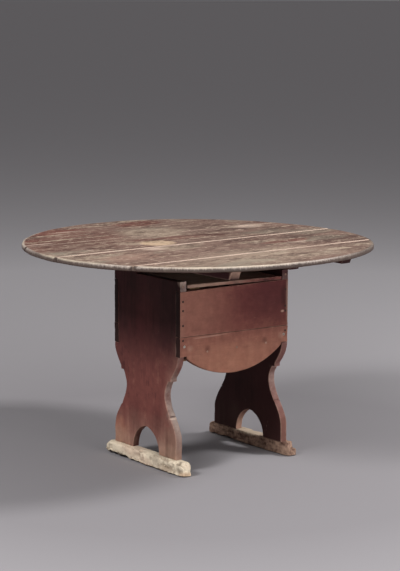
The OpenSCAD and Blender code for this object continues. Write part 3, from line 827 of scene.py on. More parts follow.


# Pine table top, painted red-brown once and scrubbed for generations: islands of paint drawn out
# along the boards, greyed wood between them, pale scratches, bare wood along the seams, ring marks
# and spills, and a rim greyed by hands, with painted shade on its lower half and ends and a painted
# highlight along its upper edge. Underneath it is bare, oxidised and dark.
def scrubbed_top(name):
    material, add = new_material(name)
    hues = colours()
    coord = add("TexCoord", out="Object")
    x, y, z = [add("SeparateXYZ", (coord,), axis) for axis in (X, Y, Z)]
    patch = marks(add, coord, 58.82, 8.0, 0.7, X, 0.5)
    hue = marks(add, coord, 181.8, 5.0, 0.6, X, 0.5)
    streak = marks(add, coord, 22.22, 5.0, 0.65, X, 0.09)
    # Fibres are finer than a pixel and drawn 4 mm apart, as coarse as they need to be to show
    fibre = marks(add, coord, 3.846, 3.0, 0.6, X, 0.09)
    mottle = marks(add, coord, 20.83, 5.0, 0.75, X, 0.6)
    # Scrub marks and flecks of dirt, which stand close and give the top its grit
    flecks = marks(add, coord, 13.33, 4.0, 0.8, X, 0.45)
    colour = add("ValToRGB", (add("Mix", (0.5, hue, patch)),), ramp=(
        (0.36, hues.top_red), (0.45, hues.top_brown),
        (0.53, hues.top_brown), (0.61, hues.top_grey)))
    colour = stained(add, coord, patch, colour, TOP_STAINS)
    # Pale scrubbed streaks, white specks and dark dirt
    for share, other, low, high, at_low, at_high, over in (
            (0.42, streak, 0.525, 0.62, 0.0, 0.85, hues.top_pale),
            (0.5, mottle, 0.565, 0.64, 0.0, 0.9, hues.top_seam),
            (0.42, patch, 0.37, 0.5, 0.85, 0.0, hues.under)):
        mask = add("MapRange", (add("Mix", (share, other, flecks)), low, high, at_low, at_high))
        colour = add("Mix", (mask, colour, over), data_type="RGBA")
    ragged = add("Math", (mottle, 9 * MM, -4.5 * MM), operation="MULTIPLY_ADD")
    notch = 0.0
    for seam, strength in zip(SEAMS, SEAM_STRENGTH):
        gap = add("Math", (add("Math", (y, seam), operation="SUBTRACT"),), operation="ABSOLUTE")
        open_end = add("MapRange", (gap, 6 * MM, 11 * MM, 1.0, 0.0))
        notch = add("Math", (notch, open_end), operation="MAXIMUM")
        torn = add("Math", (gap, ragged), operation="ADD")
        rubbed = add("Math", (add("MapRange", (torn, 5.5 * MM, 8.5 * MM, strength, 0.0)),
                              add("MapRange", (patch, 0.35, 0.5, 0.75, 1.0))), operation="MULTIPLY")
        colour = add("Mix", (rubbed, colour, hues.top_seam), data_type="RGBA")
    # The rim: whitish above; darker below and towards both ends, painted shade over dirt in the
    # checked end grain
    checks = marks(add, coord, 5.882, 4.0, 0.6, Z, 0.12)
    rise = add("Math", (add("Mix", (0.35, checks, mottle)), 28 * MM, z), operation="MULTIPLY_ADD")
    rise = add("MapRange", (rise, TABLE_UNDER_Z + 23 * MM, TABLE_UNDER_Z + 33 * MM))
    ends = add("Math", (add("MapRange", (x, 50 * MM, 280 * MM, 0.0, 0.85)),
                        add("MapRange", (x, -545 * MM, -585 * MM, 0.0, 0.7))), operation="MAXIMUM")
    rim_lit_part = add("Math", (1.0, ends), operation="SUBTRACT")
    rim_lit_part = add("Math", (rise, rim_lit_part), operation="MULTIPLY")
    rim = add("Mix", (rim_lit_part, hues.rim_dark, hues.rim), data_type="RGBA")
    # Its upper edge is rubbed and painted almost white for stretches, mostly on the left: partly
    # rubbed wood, partly a painted highlight
    crest = add("Math", (hue, 30 * MM, z), operation="MULTIPLY_ADD")
    crest = add("MapRange", (crest, TABLE_UNDER_Z + 30 * MM, TABLE_UNDER_Z + 38 * MM))
    stretches = add("MapRange", (x, -150 * MM, 150 * MM, 0.9, 0.15))
    crest = add("Math", (crest, stretches), operation="MULTIPLY")
    rim = add("Mix", (crest, rim, hues.bleached), data_type="RGBA")
    rim = add("Mix", (notch, rim, hues.end_grain), data_type="RGBA")
    border = add("Math", (add("Attribute", out="Fac", attribute_name="border"), ragged),
                 operation="ADD")
    border = add("MapRange", (border, 12 * MM, 5 * MM, 0.0, 0.9))
    colour = add("Mix", (border, colour, rim), data_type="RGBA")
    below = add("MapRange", (z, TABLE_UNDER_Z + 4 * MM, TABLE_UNDER_Z + 1 * MM))
    bare = add("Mix", (streak, hues.under, hues.inside_dark), data_type="RGBA")
    colour = add("Mix", (below, colour, bare), data_type="RGBA")
    specks = add("ValToRGB", (fibre,), ramp=((0.3, linear("#dad7d4")), (0.52, linear("#ffffff"))))
    colour = add("Mix", (0.6, colour, specks), data_type="RGBA", blend_type="MULTIPLY")
    surface(add, colour, add("Mix", (0.5, streak, fibre)), roughness=0.6, shine=0.35, depth=0.6,
            strength=0.45)
    return material


# Bare pine: pale late wood between darker, dirt-filled early wood, with damp stains in clouds.
# The feet stood on wet floors and are bleached and open-grained; inside the box it is only brown.
def bare_pine(name, along, light, dark, bias=0.0, bump=0.6, stains=(), depth=0.9):
    """The grain runs along one axis; bias turns more of the wood light, depth is the relief's."""
    material, add = new_material(name)
    coord = add("TexCoord", out="Object")
    cloud = marks(add, coord, 58.82, 6.0, 0.68)
    # Year rings lie 2 to 4 mm apart, and worm pits and flakes of lifted grain are as small. They
    # are drawn 8 to 18 mm apart, as coarse as the render needs to show them.
    streak = marks(add, coord, 8.333, 5.0, 0.62, along, 0.09)
    pits = marks(add, coord, 10.53, 3.0, 0.6)
    flakes = marks(add, coord, 18.18, 4.0, 0.7)
    soft = add("Mix", (0.35, add("Mix", (0.42, cloud, streak)), flakes))
    soft = add("Math", (soft, bias), operation="ADD")
    colour = add("ValToRGB", (soft,), ramp=((0.39, dark), (0.53, light)))
    pitted = add("MapRange", (pits, 0.28, 0.38, 0.7, 0.0))
    colour = add("Mix", (pitted, colour, dark), data_type="RGBA")
    colour = stained(add, coord, pits, colour, stains)
    # Dirt and rot lie in the hollows that the mesh marks
    hollow = add("Attribute", out="Fac", attribute_name="hollow")
    dirty = add("Math", (pits, 0.5, hollow), operation="MULTIPLY_ADD")
    dirty = add("MapRange", (dirty, 0.72, 1.25, 0.0, 0.8))
    colour = add("Mix", (dirty, colour, colours().rot), data_type="RGBA")
    height = add("Mix", (0.6, streak, add("Mix", (0.5, flakes, pits))))
    surface(add, colour, height, roughness=0.8, shine=0.25, depth=depth, strength=bump)
    return material


# Forged iron: scale and rust leave it almost black and dull; a rubbed head shows grey metal.
def forged_iron(name, base, metallic, roughness):
    material, add = new_material(name)
    # Pits of rust, 1.4 mm apart
    pits = marks(add, add("TexCoord", out="Object"), 1.4286, 3.0, 0.6)
    colour = add("ValToRGB", (pits,), ramp=((0.40, linear("#4a2c20")), (0.52, base)))
    painted = add("Attribute", out="Fac", attribute_name="painted")
    colour = add("Mix", (painted, colour, colours().paint_bare), data_type="RGBA")
    surface(add, colour, pits, roughness, shine=0.5, depth=0.3, strength=0.4, metallic=metallic)
    return material


# Pieces

# A point of the top's outlines this near to a seam lies on it
SEAM_REACH = 1.5 * MM
# Spacing of the points along the outline of a top board
TOP_STEP = 7 * MM
# How far along the rim a seam's notch reaches, and how far the rim's own waves run in
NOTCH_REACH, RIM_WAVE = 13 * MM, 1.4 * MM


class HUTCH_OT_table_top(bpy.types.Operator):
    """Adds the four boards of the round top"""

    bl_idname = "hutch.table_top"
    bl_label = "Table Top"

    def execute(self, context):
        notch = sizes().seam_notch
        material = scrubbed_top("scrubbed_pine_top")
        names = ["top_board_" + part for part in ("front", "mid_front", "mid_rear", "rear")]
        loops = [even_loop(cad_outline(name, Z), TOP_STEP) for name in names]
        rim = [p for loop in loops for p in loop if not on_seam(p, 4 * MM)]
        rim.sort(key=lambda p: math.atan2(p.y, p.x))
        ends = []
        for loop in loops:
            for seam in SEAMS:
                along = sorted((p for p in loop if abs(p.y - seam) < SEAM_REACH),
                               key=lambda p: p.x)
                ends += along[:1] + along[-1:]
        for seed, (name, loop) in enumerate(zip(names, loops)):
            loop = [worn_in(p, ends, notch) for p in loop]
            add_top_board(name, loop, rim, material, seed + 1)
        return {"FINISHED"}


def on_seam(point, reach=SEAM_REACH):
    """Whether a point of the top lies at a seam."""
    return any(abs(point.y - seam) < reach for seam in SEAMS)


def worn_in(point, ends, depth):
    """A rim point moved in where a seam meets the rim, and a little at random elsewhere."""
    gap = min((point - end).length for end in ends)
    shift = depth * max(0.0, 1.0 - gap / NOTCH_REACH) ** 2
    if not on_seam(point):
        shift += RIM_WAVE * max(0.0, noise.noise(point.to_3d() * 16.0) + 0.25)
    return point - point.normalized() * shift


def add_top_board(name, loop, rim, material, seed):
    """Adds one board of the top, its rim rounded and its seams nearly square."""
    settings = sizes()
    low, high = [corner.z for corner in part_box(name)]
    seam = [on_seam(p, 2.5 * MM) for p in loop]
    upper = [settings.joint_arris * 1.6 if s else settings.rim_upper for s in seam]
    lower = [settings.joint_arris if s else settings.rim_lower for s in seam]
    bm = plate(loop, Z, low, high, lower, upper, rows=2, cell=settings.cell)
    wear(bm, loop, Z, low, high, settings.rim_upper, settings.chip * 1.2, settings.wave * 1.6,
         seed)
    border = bm.verts.layers.float.new("border")
    places = [tuple(v.co.xy) for v in bm.verts]
    for v, gap in zip(bm.verts, outline_distance(places, rim)):
        v[border] = max(gap, 0.0)
    dress(to_object("worn_" + name, bm), name, material)


class HUTCH_OT_cleats(bpy.types.Operator):
    """Adds the three cleats under the top"""

    bl_idname = "hutch.cleats"
    bl_label = "Cleats"

    def execute(self, context):
        front = (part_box("cleat_left")[0].y - BASE_Y) / MM
        # Both cleat paints are toned darker than the rest: painted shade under the top
        handled = milk_paint("milk_paint_cleat_handled", Y, tone=-0.3, rub=0.4, stains=(
            (-150, front, 710, 200, 14, 60, "paint_bare", 0.6, 0.6, 0.3),))
        dark = milk_paint("milk_paint_cleats", Y, tone=-0.3, rub=0.2)
        for seed, (side, paint) in enumerate((
                ("left", handled), ("right", dark), ("middle", dark))):
            worn_board("cleat_" + side, X, paint, seed + 11, arris=3 * MM,
                       step=9 * MM, rows=2, chip=1.5)
        return {"FINISHED"}


class HUTCH_OT_pivot_pins(bpy.types.Operator):
    """Adds the two wooden pivot pins"""

    bl_idname = "hutch.pivot_pins"
    bl_label = "Pivot Pins"

    def execute(self, context):
        hues = colours()
        material = bare_pine("bare_pine_pins", X, hues.inside, hues.inside_dark)
        for seed, node in enumerate(("pivot_pin_left", "pivot_pin_right")):
            low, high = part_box(node)
            middle = (low + high) / 2
            # The pin runs from its head, which is the thicker end, to its tip
            (a, ra), (b, _), (c, rc) = rounds(node, X)
            if ra < rc:
                a, c, ra, rc = c, a, rc, ra
            head, neck, tip = [Vector((x, middle.y, middle.z)) for x in (a, b, c)]
            bm = bmesh.new()
            whittled_pin(bm, head, neck, ra, seed)
            whittled_pin(bm, head.lerp(neck, 0.5), tip, rc, seed + 5)
            dress_small("whittled_" + node, bm, node, material)
        return {"FINISHED"}


# Stains are placed from the base's middle: x, y and z of their middle, their three reaches in mm,
# their colour, strength, raggedness and softness
PANEL_STAINS = (
    # Painted highlights on the upward-facing steps of both panels' front edges
    (-240, -160, 312, 40, 17, 9, "top_seam", 0.9, 0.2, 0.3),
    (240, -126, 305, 40, 11, 6, "top_seam", 0.6, 0.2, 0.3),
    (-226, -190, 190, 24, 80, 230, "paint_bare", 0.3, 1.0, 0.5),
    (-210, -160, 180, 22, 60, 90, "rim", 0.6, 0.8, 0.4),
    (-210, -175, 362, 24, 40, 46, "paint", 0.75, 0.5, 0.3),
    (-240, 10, 505, 40, 80, 90, "paint_red", 0.32, 0.8, 0.5),
    (-240, 150, 300, 40, 60, 60, "paint_dark", 0.2, 0.9, 0.5),
    (226, -195, 90, 40, 40, 90, "damp", 0.75, 0.4, 0.4),
    (226, -195, 110, 40, 40, 80, "foot_brown", 0.25, 0.5, 0.4),
    (-212, -160, 105, 24, 50, 75, "paint_light", 0.2, 0.7, 0.4),
    # Painted shade under the top on the front of the left panel's upper part
    (-240, -130, 570, 40, 80, 160, "end_grain", 0.5, 0.5, 0.5),
    (-240, -200, 675, 40, 30, 40, "top_seam", 0.7, 0.3, 0.3),
    (-240, 155, 88, 40, 50, 50, "paint_thin", 0.4, 1.3, 0.3),
    (-240, -140, 95, 30, 46, 70, "damp", 0.4, 1.2, 0.3),
    (-240, 160, 66, 30, 70, 36, "foot_tan", 0.45, 1.3, 0.4),
    (-240, -105, 66, 30, 90, 34, "foot_tan", 0.3, 1.3, 0.4),
    (-240, -112, 92, 30, 8, 52, "foot_brown", 0.35, 1.0, 0.4),
    # A painted shadow line and painted highlight on a lower step of the left panel's front edge
    (-212, -132, 186, 24, 16, 2.4, "paint_dark", 0.55, 0.2, 0.3),
    (-212, -134, 180, 24, 16, 3.2, "top_seam", 0.75, 0.2, 0.3),
    # Painted light on the right arch's lower edge and the inner face beside it
    (222, 62, 80, 30, 30, 60, "paint_bare", 0.7, 0.6, 0.4),
    # Painted shade on the right panel: its ear under the top is dark, and its rubbed front edges
    # are turned back to paint
    (226, -190, 670, 40, 60, 60, "paint_dark", 0.9, 0.4, 0.4),
    (226, -190, 200, 40, 70, 330, "paint", 0.65, 0.7, 0.4),
    (-240, -62, 150, 30, 36, 56, "paint_dark", 0.35, 0.8, 0.5),
    (-240, 66, 160, 30, 30, 50, "paint_dark", 0.3, 0.8, 0.5),
)


# The play of a pivot pin in its bore, and how far the cutter stands out of the panel
PIVOT_PLAY, PAST = 0.15 * MM, 2 * MM
# The blind bore of a lid pin: how far it runs each way from the pin's middle, and its radius
LID_BORE_IN, LID_BORE_OUT, LID_BORE_RADIUS = 11 * MM, 11.3 * MM, 3.65 * MM


class HUTCH_OT_end_panels(bpy.types.Operator):
    """Adds the two scrolled end panels, bored for the pins"""

    bl_idname = "hutch.end_panels"
    bl_label = "End Panels"

    def execute(self, context):
        material = milk_paint("milk_paint_panels", Z, low=(60, 190), grime_and_shade=(285, 455), rub=0.45,
                              rubbed_face=Y, inner=True, shaded=0.3, stains=PANEL_STAINS)
        for seed, (side, out) in enumerate((("left", -1), ("right", 1))):
            panel = worn_board("end_panel_" + side, X, material, seed + 21,
                               sizes().panel_arris)
            low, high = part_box("pivot_pin_" + side)
            start = (low + high) / 2
            radius = min(r for _, r in rounds("pivot_pin_" + side, X)) + PIVOT_PLAY
            near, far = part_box("end_panel_" + side)
            start.x = near.x - PAST
            bore(panel, start, start + Vector((far.x - near.x + 2 * PAST, 0, 0)), radius)
            pin = min(islands("lid_pins"), key=lambda box: -out * box[0].x)
            centre = (pin[0] + pin[1]) / 2
            way = LID_TURN @ Vector((out, 0, 0))
            bore(panel, centre - way * LID_BORE_IN, centre + way * LID_BORE_OUT, LID_BORE_RADIUS)
        return {"FINISHED"}


JOINT_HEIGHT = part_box("front_board_upper")[0].z / MM
# The edges of both boards stay crisp this near to their joint
JOINT_REACH = 12 * MM
# Below this height, in mm, a wall's edge is its curved lower edge
SHOULDER_HEIGHT = 392
UPPER_STAINS = (
    (-30, -185, 340, 300, 60, 150, "paint_thin", 0.35, 0.5, 0.7),
    (-226, -205, 520, 18, 30, 170, "paint_bare", 0.35, 0.6, 0.4),
    (0, -185, 505, 130, 60, 70, "paint", 0.6, 0.6, 0.7),
    # A darker upper right corner, painted shadow of the top over redder paint, a paler left end,
    # painted light, and small knocks and scratches
    (190, -185, 610, 290, 420, 150, "paint_red", 0.95, 0.5, 0.7),
    (170, -185, 565, 130, 60, 75, "paint_dark", 0.45, 0.7, 0.6),
    (230, -205, 560, 7, 30, 120, "paint_bare", 0.45, 0.6, 0.3),
    (-100, -205, JOINT_HEIGHT, 80, 30, 2.6, "top_seam", 0.5, 0.4, 0.3),
    (90, -205, JOINT_HEIGHT, 150, 30, 2.5, "paint_bare", 0.4, 0.7, 0.3),
    # Painted light: the left end of the front wall is paler
    (-200, -185, 560, 140, 60, 170, "paint_light", 0.85, 0.5, 0.7),
    (-102, -205, 540, 8, 30, 16, "paint_light", 0.5, 0.6, 0.5),
    (209, -205, 507, 9, 30, 5, "paint_bare", 0.8, 0.3, 0.3),
    # Painted shade near the right end of the upper front board
    (214, -205, 560, 14, 30, 44, "end_grain", 0.5, 0.5, 0.4),
)
LOWER_STAINS = (
    (-100, -205, JOINT_HEIGHT, 80, 30, 2.6, "top_seam", 0.5, 0.4, 0.3),
    # Rubbed rings around the nail heads
    (-20, -185, 320, 320, 60, 142, "paint_thin", 0.68, 0.5, 0.7),
    (80, -185, 466, 190, 60, 34, "paint", 0.5, 0.5, 0.6),
    (-192, -205, 424, 13, 30, 11, "paint_bare", 0.4, 0.3, 0.5),
    (203, -205, 424, 13, 30, 11, "paint_bare", 0.4, 0.3, 0.5),
    (-118, -205, 415, 11, 30, 10, "paint_dark", 0.6, 0.3, 0.5),
    (130, -205, 415, 11, 30, 10, "paint_dark", 0.6, 0.3, 0.5),
)


class HUTCH_OT_walls(bpy.types.Operator):
    """Adds the front and back boards of the box"""

    bl_idname = "hutch.walls"
    bl_label = "Front and Back"

    def execute(self, context):
        settings = sizes()

        def rounding(point):
            # The joint between the two boards stays crisp, the other edges are rounded
            if abs(point.y - JOINT_HEIGHT * MM) < JOINT_REACH:
                return settings.wall_joint_arris
            curved = point.y < SHOULDER_HEIGHT * MM
            return settings.curve_arris if curved else settings.board_arris

        for seed, (side, rub) in enumerate((("front", 0.22), ("back", 0.06))):
            upper = milk_paint("milk_paint_upper_" + side, X, end=X, tone=0.09, rub=rub,
                               stains=UPPER_STAINS)
            lower = milk_paint("milk_paint_lower_" + side, X, end=X, tone=0.07, rub=rub,
                               low=(180, 500), stains=LOWER_STAINS)
            for step, (part, paint) in enumerate((("upper", upper), ("lower", lower))):
                worn_board(side + "_board_" + part, Y, paint, seed * 2 + 31 + step,
                           settings.board_arris, edge_of=rounding)
        return {"FINISHED"}


class HUTCH_OT_box_floor(bpy.types.Operator):
    """Adds the floor boards and ledgers inside the box"""

    bl_idname = "hutch.box_floor"
    bl_label = "Box Floor"

    def execute(self, context):
        hues = colours()
        along = bare_pine("bare_pine_floor", X, hues.inside, hues.inside_dark)
        across = bare_pine("bare_pine_ledgers", Y, hues.inside, hues.inside_dark)
        for seed, (node, material) in enumerate((
                ("floor_board_front", along), ("floor_board_rear", along),
                ("floor_ledger_left", across), ("floor_ledger_right", across))):
            worn_board(node, Z, material, seed + 51, arris=1.5 * MM, step=12 * MM,
                       chip=0.5)
        return {"FINISHED"}


LID_STAINS = (
    # The lid is a seat when the top is up. Its top and front edge are painted pale: painted light
    # coming in low under the rim, with some wear where people sit and hands lift it
    (-40, -60, 660, 290, 170, 30, "top_pale", 0.85, 0.5, 0.5),
    (-150, -210, 640, 190, 40, 60, "paint_bare", 0.62, 0.5, 0.6),
    (-155, -200, 620, 14, 20, 6, "top_seam", 0.9, 0.3, 0.3),
)


class HUTCH_OT_lid(bpy.types.Operator):
    """Adds the lid with its battens and iron pins"""

    bl_idname = "hutch.lid"
    bl_label = "Lid"

    def execute(self, context):
        settings, hues = sizes(), colours()
        paint = milk_paint("milk_paint_lid", X, tone=-0.07, rub=0.2, stains=LID_STAINS)
        low, high = turned_box("lid_board", LID_TURN)
        back, round_back = high.y - 1 * MM, (high.z - low.z) * 0.48

        def rounding(point):
            return round_back if point.y > back else settings.board_arris

        worn_board("lid_board", Z, paint, 61, settings.board_arris,
                   edge_of=rounding, turn=LID_TURN)
        bare = bare_pine("bare_pine_battens", Y, hues.inside, hues.inside_dark)
        for seed, side in enumerate(("left", "right")):
            worn_board("lid_batten_" + side, Z, bare, seed + 62, arris=2.5 * MM,
                       step=10 * MM, turn=LID_TURN)
        bm = bmesh.new()
        way = LID_TURN @ Vector((1, 0, 0))
        for seed, (low, high) in enumerate(islands("lid_pins")):
            middle, half = (low + high) / 2, way * ((high.x - low.x) / 2 - 0.1 * MM)
            radius = (high.y - low.y) / 2 - 0.05 * MM
            whittled_pin(bm, middle - half, middle + half, radius, seed + 3)
        iron = forged_iron("dark_iron_pins", hues.iron, metallic=0.6, roughness=0.6)
        dress_small("forged_lid_pins", bm, "lid_pins", iron)
        return {"FINISHED"}


# Hollows and knots in the side of a foot that looks left: middle, reaches and depth in mm
FOOT_HOLLOWS = {
    "foot_left": ((21, 28, 9, 9, 6), (-128, 17, 48, 15, 9), (150, 6, 90, 18, 7),
                  (62, 42, 30, 10, 6), (-62, 44, 24, 12, 6), (196, 30, 12, 20, 4)),
    "foot_right": ((-130, 30, 16, 9, 5), (40, 16, 40, 8, 4), (-60, 22, 14, 8, 4)),
}
PEG_STAINS = ((-240, 0, 24, 90, 400, 90, "bleached", 0.9, 0.0, 0.1),)
FOOT_STAINS = (
    (-245, -222, 5, 40, 26, 14, "top_tan", 0.9, 0.7, 0.3),
    (-225, -240, 44, 40, 30, 16, "foot_tan", 0.55, 0.7, 0.4),
    # Painted shadow along the bottom of the left foot's outer side, where its sole stands off the
    # floor
    (-250, 150, 7, 36, 80, 8, "end_grain", 0.9, 0.5, 0.25),
    (-250, -50, 2, 36, 150, 6, "end_grain", 0.85, 0.6, 0.25),
    (-245, 60, 36, 60, 60, 22, "paint_bare", 0.45, 1.0, 0.4),
    (-245, -20, 14, 60, 36, 16, "paint_bare", 0.4, 1.0, 0.4),
    (-245, -70, 40, 60, 36, 26, "top_grey", 0.5, 1.0, 0.4),
    (-245, -128, 13, 60, 46, 10, "damp", 0.6, 0.6, 0.4),
    (245, 0, 46, 60, 90, 10, "bleached", 0.55, 0.8, 0.4),
    (245, -226, 24, 60, 30, 30, "foot_tan", 0.15, 0.8, 0.4),
)


class HUTCH_OT_feet(bpy.types.Operator):
    """Adds the two shoe feet, eroded and rounded, and their pegs"""

    bl_idname = "hutch.feet"
    bl_label = "Feet"

    def execute(self, context):
        hues = colours()
        for seed, (side, light, dark, bias, rot) in enumerate((
                ("left", hues.bleached, hues.damp, 0.058, 1.0),
                ("right", hues.foot_tan, hues.foot_brown, -0.02, 0.45))):
            material = bare_pine("weathered_pine_" + side, Y, light, dark, bias, bump=0.9,
                                 depth=2.2, stains=FOOT_STAINS)
            add_foot("foot_" + side, material, seed + 41, rot)
        bm = bmesh.new()
        for seed, (low, high) in enumerate(islands("foot_pegs")):
            radius = (high.z - low.z) / 2
            start, end = (low + high) / 2, (low + high) / 2
            # The left foot has rotted deep on its outer side, and its pegs with it
            start.x = low.x + (11 * MM if low.x < BASE_X else MM)
            end.x = high.x - MM
            whittled_pin(bm, start, end, radius, seed + 9)
        pegs = bare_pine("bare_pine_pegs", X, hues.foot_tan, hues.foot_brown, stains=PEG_STAINS)
        dress_small("whittled_foot_pegs", bm, "foot_pegs", pegs)
        return {"FINISHED"}


def held(value, low=0.0, high=1.0):
    """A value held between two others."""
    return min(max(value, low), high)


def add_foot(node, material, seed, rot):
    """Adds one foot: its ends worn to knuckles, its sides hollowed and its sole rotted."""
    settings = sizes()
    low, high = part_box(node)
    middle = (low + high) / 2
    loop = even_loop(cad_outline(node, X), 5 * MM)
    arris = [settings.foot_arris * (0.6 if p.y < low.z + 8 * MM else 1.0) for p in loop]
    bm = plate(loop, X, low.x, high.x, arris, arris, rows=6, cell=7 * MM, margin=3.5 * MM)
    wear(bm, loop, X, low.x, high.x, settings.foot_arris, settings.chip, settings.wave, seed)
    bm.normal_update()
    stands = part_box("end_panel_" + node.split("_")[1])
    # The ends are drawn in towards this height
    heart = low.z + (high.z - low.z) * 0.4
    marked = bm.verts.layers.float.new("hollow")
    offset = Vector((seed * 2.3, seed, 0))
    for v in bm.verts:
        lump = noise.noise(v.co * 19.0 + offset) + noise.noise(v.co * 52.0 + offset) * 0.75
        deep = rot * held(lump + 0.2)
        # The foot stays whole where the panel stands on it
        under_panel = v.normal.z > 0.5 and stands[0].x - 3 * MM < v.co.x < stands[1].x + 3 * MM
        sink = 0.0 if under_panel else settings.foot_lump * deep
        for y, z, ry, rz, depth in FOOT_HOLLOWS[node]:
            gap = math.hypot((v.co.y - BASE_Y - y * MM) / (ry * MM), (v.co.z - z * MM) / (rz * MM))
            if gap < 1.0 and v.normal.x < -0.2:
                sink += depth * MM * (1.0 - gap * gap) ** 2
                deep = max(deep, (1.0 - gap) * min(9.0 / ry, 1.0) * 1.3)
        v[marked] = min(deep, 1.0)
        # The sole has rotted away most on the side that looks left and towards the back
        sole = max(0.0, -v.normal.z)
        side = held((middle.x - v.co.x) / (high.x - low.x) + 0.5)
        back = held((v.co.y - middle.y) / (high.y - low.y) * 3.0 + 0.4, 0.3)
        gone = (noise.noise(Vector((seed, v.co.y * 17.0, 0)))
                + noise.noise(Vector((seed, v.co.y * 60.0, 4))) * 0.5)
        v.co -= v.normal * sink * (1.0 - 0.95 * sole)
        if v.co.z < low.z + 9 * MM:
            v.co.z += settings.sole_gap * rot * side ** 0.5 * back * held(gone + 0.7, 0.0, 1.1)
        end = held(1.0 - min(v.co.y - low.y, high.y - v.co.y) / settings.knuckle)
        draw = math.sqrt(1.0 - 0.6 * end * end)
        v.co.x = middle.x + (v.co.x - middle.x) * draw
        v.co.z = heart + (v.co.z - heart) * (draw if v.co.z > heart else 0.75 + 0.25 * draw)
        if node == "foot_right" and v.co.y < low.y + 32 * MM and v.co.x > middle.x - 6 * MM:
            # The outer half of the right foot's front end has split away
            v.co.z = min(v.co.z, low.z + 21 * MM + 3 * MM * lump)
    dress(to_object("worn_" + node, bm), node, material)


def left_painted(point):
    """The share of paint left on a nail; on the front, the ones in the corners have lost it."""
    if point.y > BASE_Y or point.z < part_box("front_board_lower")[0].z:
        return 0.0
    if point.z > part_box("front_board_upper")[1].z:
        return 0.5
    off = abs(point.x - BASE_X)
    return 0.6 if off < 50 * MM else 0.8 if off < 180 * MM else 0.0


class HUTCH_OT_nails(bpy.types.Operator):
    """Adds all the nails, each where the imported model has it"""

    bl_idname = "hutch.nails"
    bl_label = "Nails"

    def execute(self, context):
        hues = colours()
        dark = forged_iron("dark_iron_nails", hues.iron, metallic=0.6, roughness=0.62)
        bright = forged_iron("bright_iron_nails", hues.iron_bright, metallic=0.75, roughness=0.42)
        front, up, right = Vector((0, -1, 0)), Vector((0, 0, 1)), Vector((1, 0, 0))
        for node, facing in (
                ("front_nails", lambda p: front), ("back_nails", lambda p: -front),
                ("ear_nails", lambda p: front), ("floor_nails", lambda p: up),
                ("cleat_nails", lambda p: -up),
                ("ledger_nails", lambda p: right if p.x < BASE_X else -right),
                ("lid_batten_nails", lambda p: LID_TURN @ -up)):
            nails(node, facing, dark, painted=left_painted)
        nails("rose_head_nails", lambda p: front, bright, facets=5)
        return {"FINISHED"}


class HUTCH_OT_stage(bpy.types.Operator):
    """Adds the pale floor, the soft lamps and the camera"""

    bl_idname = "hutch.stage"
    bl_label = "Stage"

    def execute(self, context):
        scene = context.scene
        bpy.ops.mesh.primitive_circle_add(vertices=64, radius=FLOOR_RADIUS, fill_type="NGON")
        floor = context.object
        floor.name = "studio_floor"
        # Matt paint, which grows paler with distance: painted light that takes the place of a lit
        # backdrop
        material, add = new_material("pale_studio_floor")
        far = add("VectorMath", (add("TexCoord", out="Object"),), operation="LENGTH")
        tone = add("Mix", (add("MapRange", (far, *FLOOR_FADE)), linear("#918d90"),
                           linear("#d6d2d5")), data_type="RGBA")
        shader = add("BsdfPrincipled", {"Base Color": tone, "Roughness": 0.9})
        add("OutputMaterial", {"Surface": shader})
        floor.data.materials.append(material)
        for name, place, size, power in LAMPS:
            lamp = bpy.data.lights.new(name, "AREA")
            lamp.size, lamp.energy = size, power
            holder = bpy.data.objects.new(name, lamp)
            holder.location = place
            way = LAMPS_AIM - Vector(place)
            holder.rotation_euler = way.to_track_quat("-Z", "Y").to_euler()
            scene.collection.objects.link(holder)
        world = bpy.data.worlds.new("studio_world")
        world.use_nodes = True
        background = world.node_tree.nodes["Background"]
        background.inputs["Color"].default_value = linear("#dcdadc")
        background.inputs["Strength"].default_value = 0.21
        scene.world = world
        scene.view_settings.view_transform = "Standard"
        add_camera(scene)
        return {"FINISHED"}


FLOOR_RADIUS = 150.0
# The floor's tone changes between these distances from the table's middle
FLOOR_FADE = (1.0, 4.2)
LAMPS_AIM = Vector((0.0, 0.0, 0.45))
# Name, place, size and power; the key lamp stands high on the right, as the photo's shadows show
LAMPS = (
    ("key_lamp", (2.2, -1.8, 3.6), 0.8, 138.0),
    ("side_lamp", (-4.2, -0.1, 3.6), 1.2, 190.0),
    ("front_lamp", (-0.4, -5.4, 1.2), 2.0, 125.0),
)
# The camera, worked out from the photograph's perspective and set from the middle of the base
CAMERA_FROM_BASE = Vector((-3.88856, -4.93417, 1.62293))
CAMERA_YAW = math.radians(38.2016)
CAMERA_PITCH = math.radians(9.3216)
CAMERA_ROLL = math.radians(0.1635)
FRAME_HEIGHT_PX = 571
FOCAL_PX = 1858.09
SENSOR_MM = 36.0


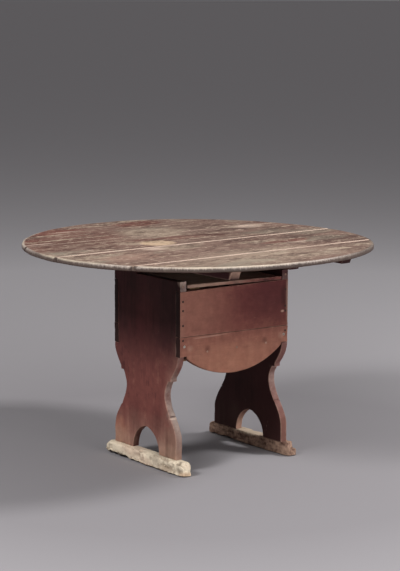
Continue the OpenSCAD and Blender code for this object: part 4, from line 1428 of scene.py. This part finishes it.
def add_camera(scene):
    """Adds the camera at the photograph's place, for an upright frame of 400 by 571."""
    data = bpy.data.cameras.new("photo_camera")
    data.sensor_fit = "VERTICAL"
    data.sensor_height = SENSOR_MM
    data.lens = FOCAL_PX * SENSOR_MM / FRAME_HEIGHT_PX
    data.clip_end = 500.0
    holder = bpy.data.objects.new("photo_camera", data)
    forward = Vector((math.sin(CAMERA_YAW) * math.cos(CAMERA_PITCH),
                      math.cos(CAMERA_YAW) * math.cos(CAMERA_PITCH), -math.sin(CAMERA_PITCH)))
    right = Vector((math.cos(CAMERA_YAW), -math.sin(CAMERA_YAW), 0.0))
    up = right.cross(forward)
    turned = right * math.cos(CAMERA_ROLL) + up * math.sin(CAMERA_ROLL)
    up = up * math.cos(CAMERA_ROLL) - right * math.sin(CAMERA_ROLL)
    place = Matrix((turned, up, -forward)).transposed().to_4x4()
    place.translation = CAMERA_FROM_BASE + Vector((BASE_X, BASE_Y, 0.0))
    holder.matrix_world = place
    scene.collection.objects.link(holder)
    scene.camera = holder


class HUTCH_PT_panel(bpy.types.Panel):
    """Lists the pieces and the settings in the sidebar"""

    bl_idname = "HUTCH_PT_panel"
    bl_label = "Hutch Table"
    bl_space_type = "VIEW_3D"
    bl_region_type = "UI"
    bl_category = "Hutch Table"

    def draw(self, context):
        for operator in OPERATORS:
            self.layout.operator(operator.bl_idname)
        for group in (context.scene.hutch_sizes, context.scene.hutch_colours):
            for name in group.__annotations__:
                self.layout.prop(group, name)


OPERATORS = (HUTCH_OT_stage, HUTCH_OT_table_top, HUTCH_OT_cleats, HUTCH_OT_pivot_pins,
             HUTCH_OT_end_panels, HUTCH_OT_walls, HUTCH_OT_box_floor, HUTCH_OT_lid,
             HUTCH_OT_feet, HUTCH_OT_nails)
CLASSES = (HutchSizes, HutchColours) + OPERATORS + (HUTCH_PT_panel,)


def register():
    """Registers the settings, the operators and the panel."""
    for cls in CLASSES:
        bpy.utils.register_class(cls)
    bpy.types.Scene.hutch_sizes = bpy.props.PointerProperty(type=HutchSizes)
    bpy.types.Scene.hutch_colours = bpy.props.PointerProperty(type=HutchColours)


def unregister():
    """Takes back what register did."""
    del bpy.types.Scene.hutch_colours
    del bpy.types.Scene.hutch_sizes
    for cls in reversed(CLASSES):
        bpy.utils.unregister_class(cls)


def main():
    """Builds every piece and the stage."""
    register()
    for operator in OPERATORS:
        group, name = operator.bl_idname.split(".")
        getattr(getattr(bpy.ops, group), name)()
    bpy.context.view_layer.update()


if __name__ == "__main__":
    main()
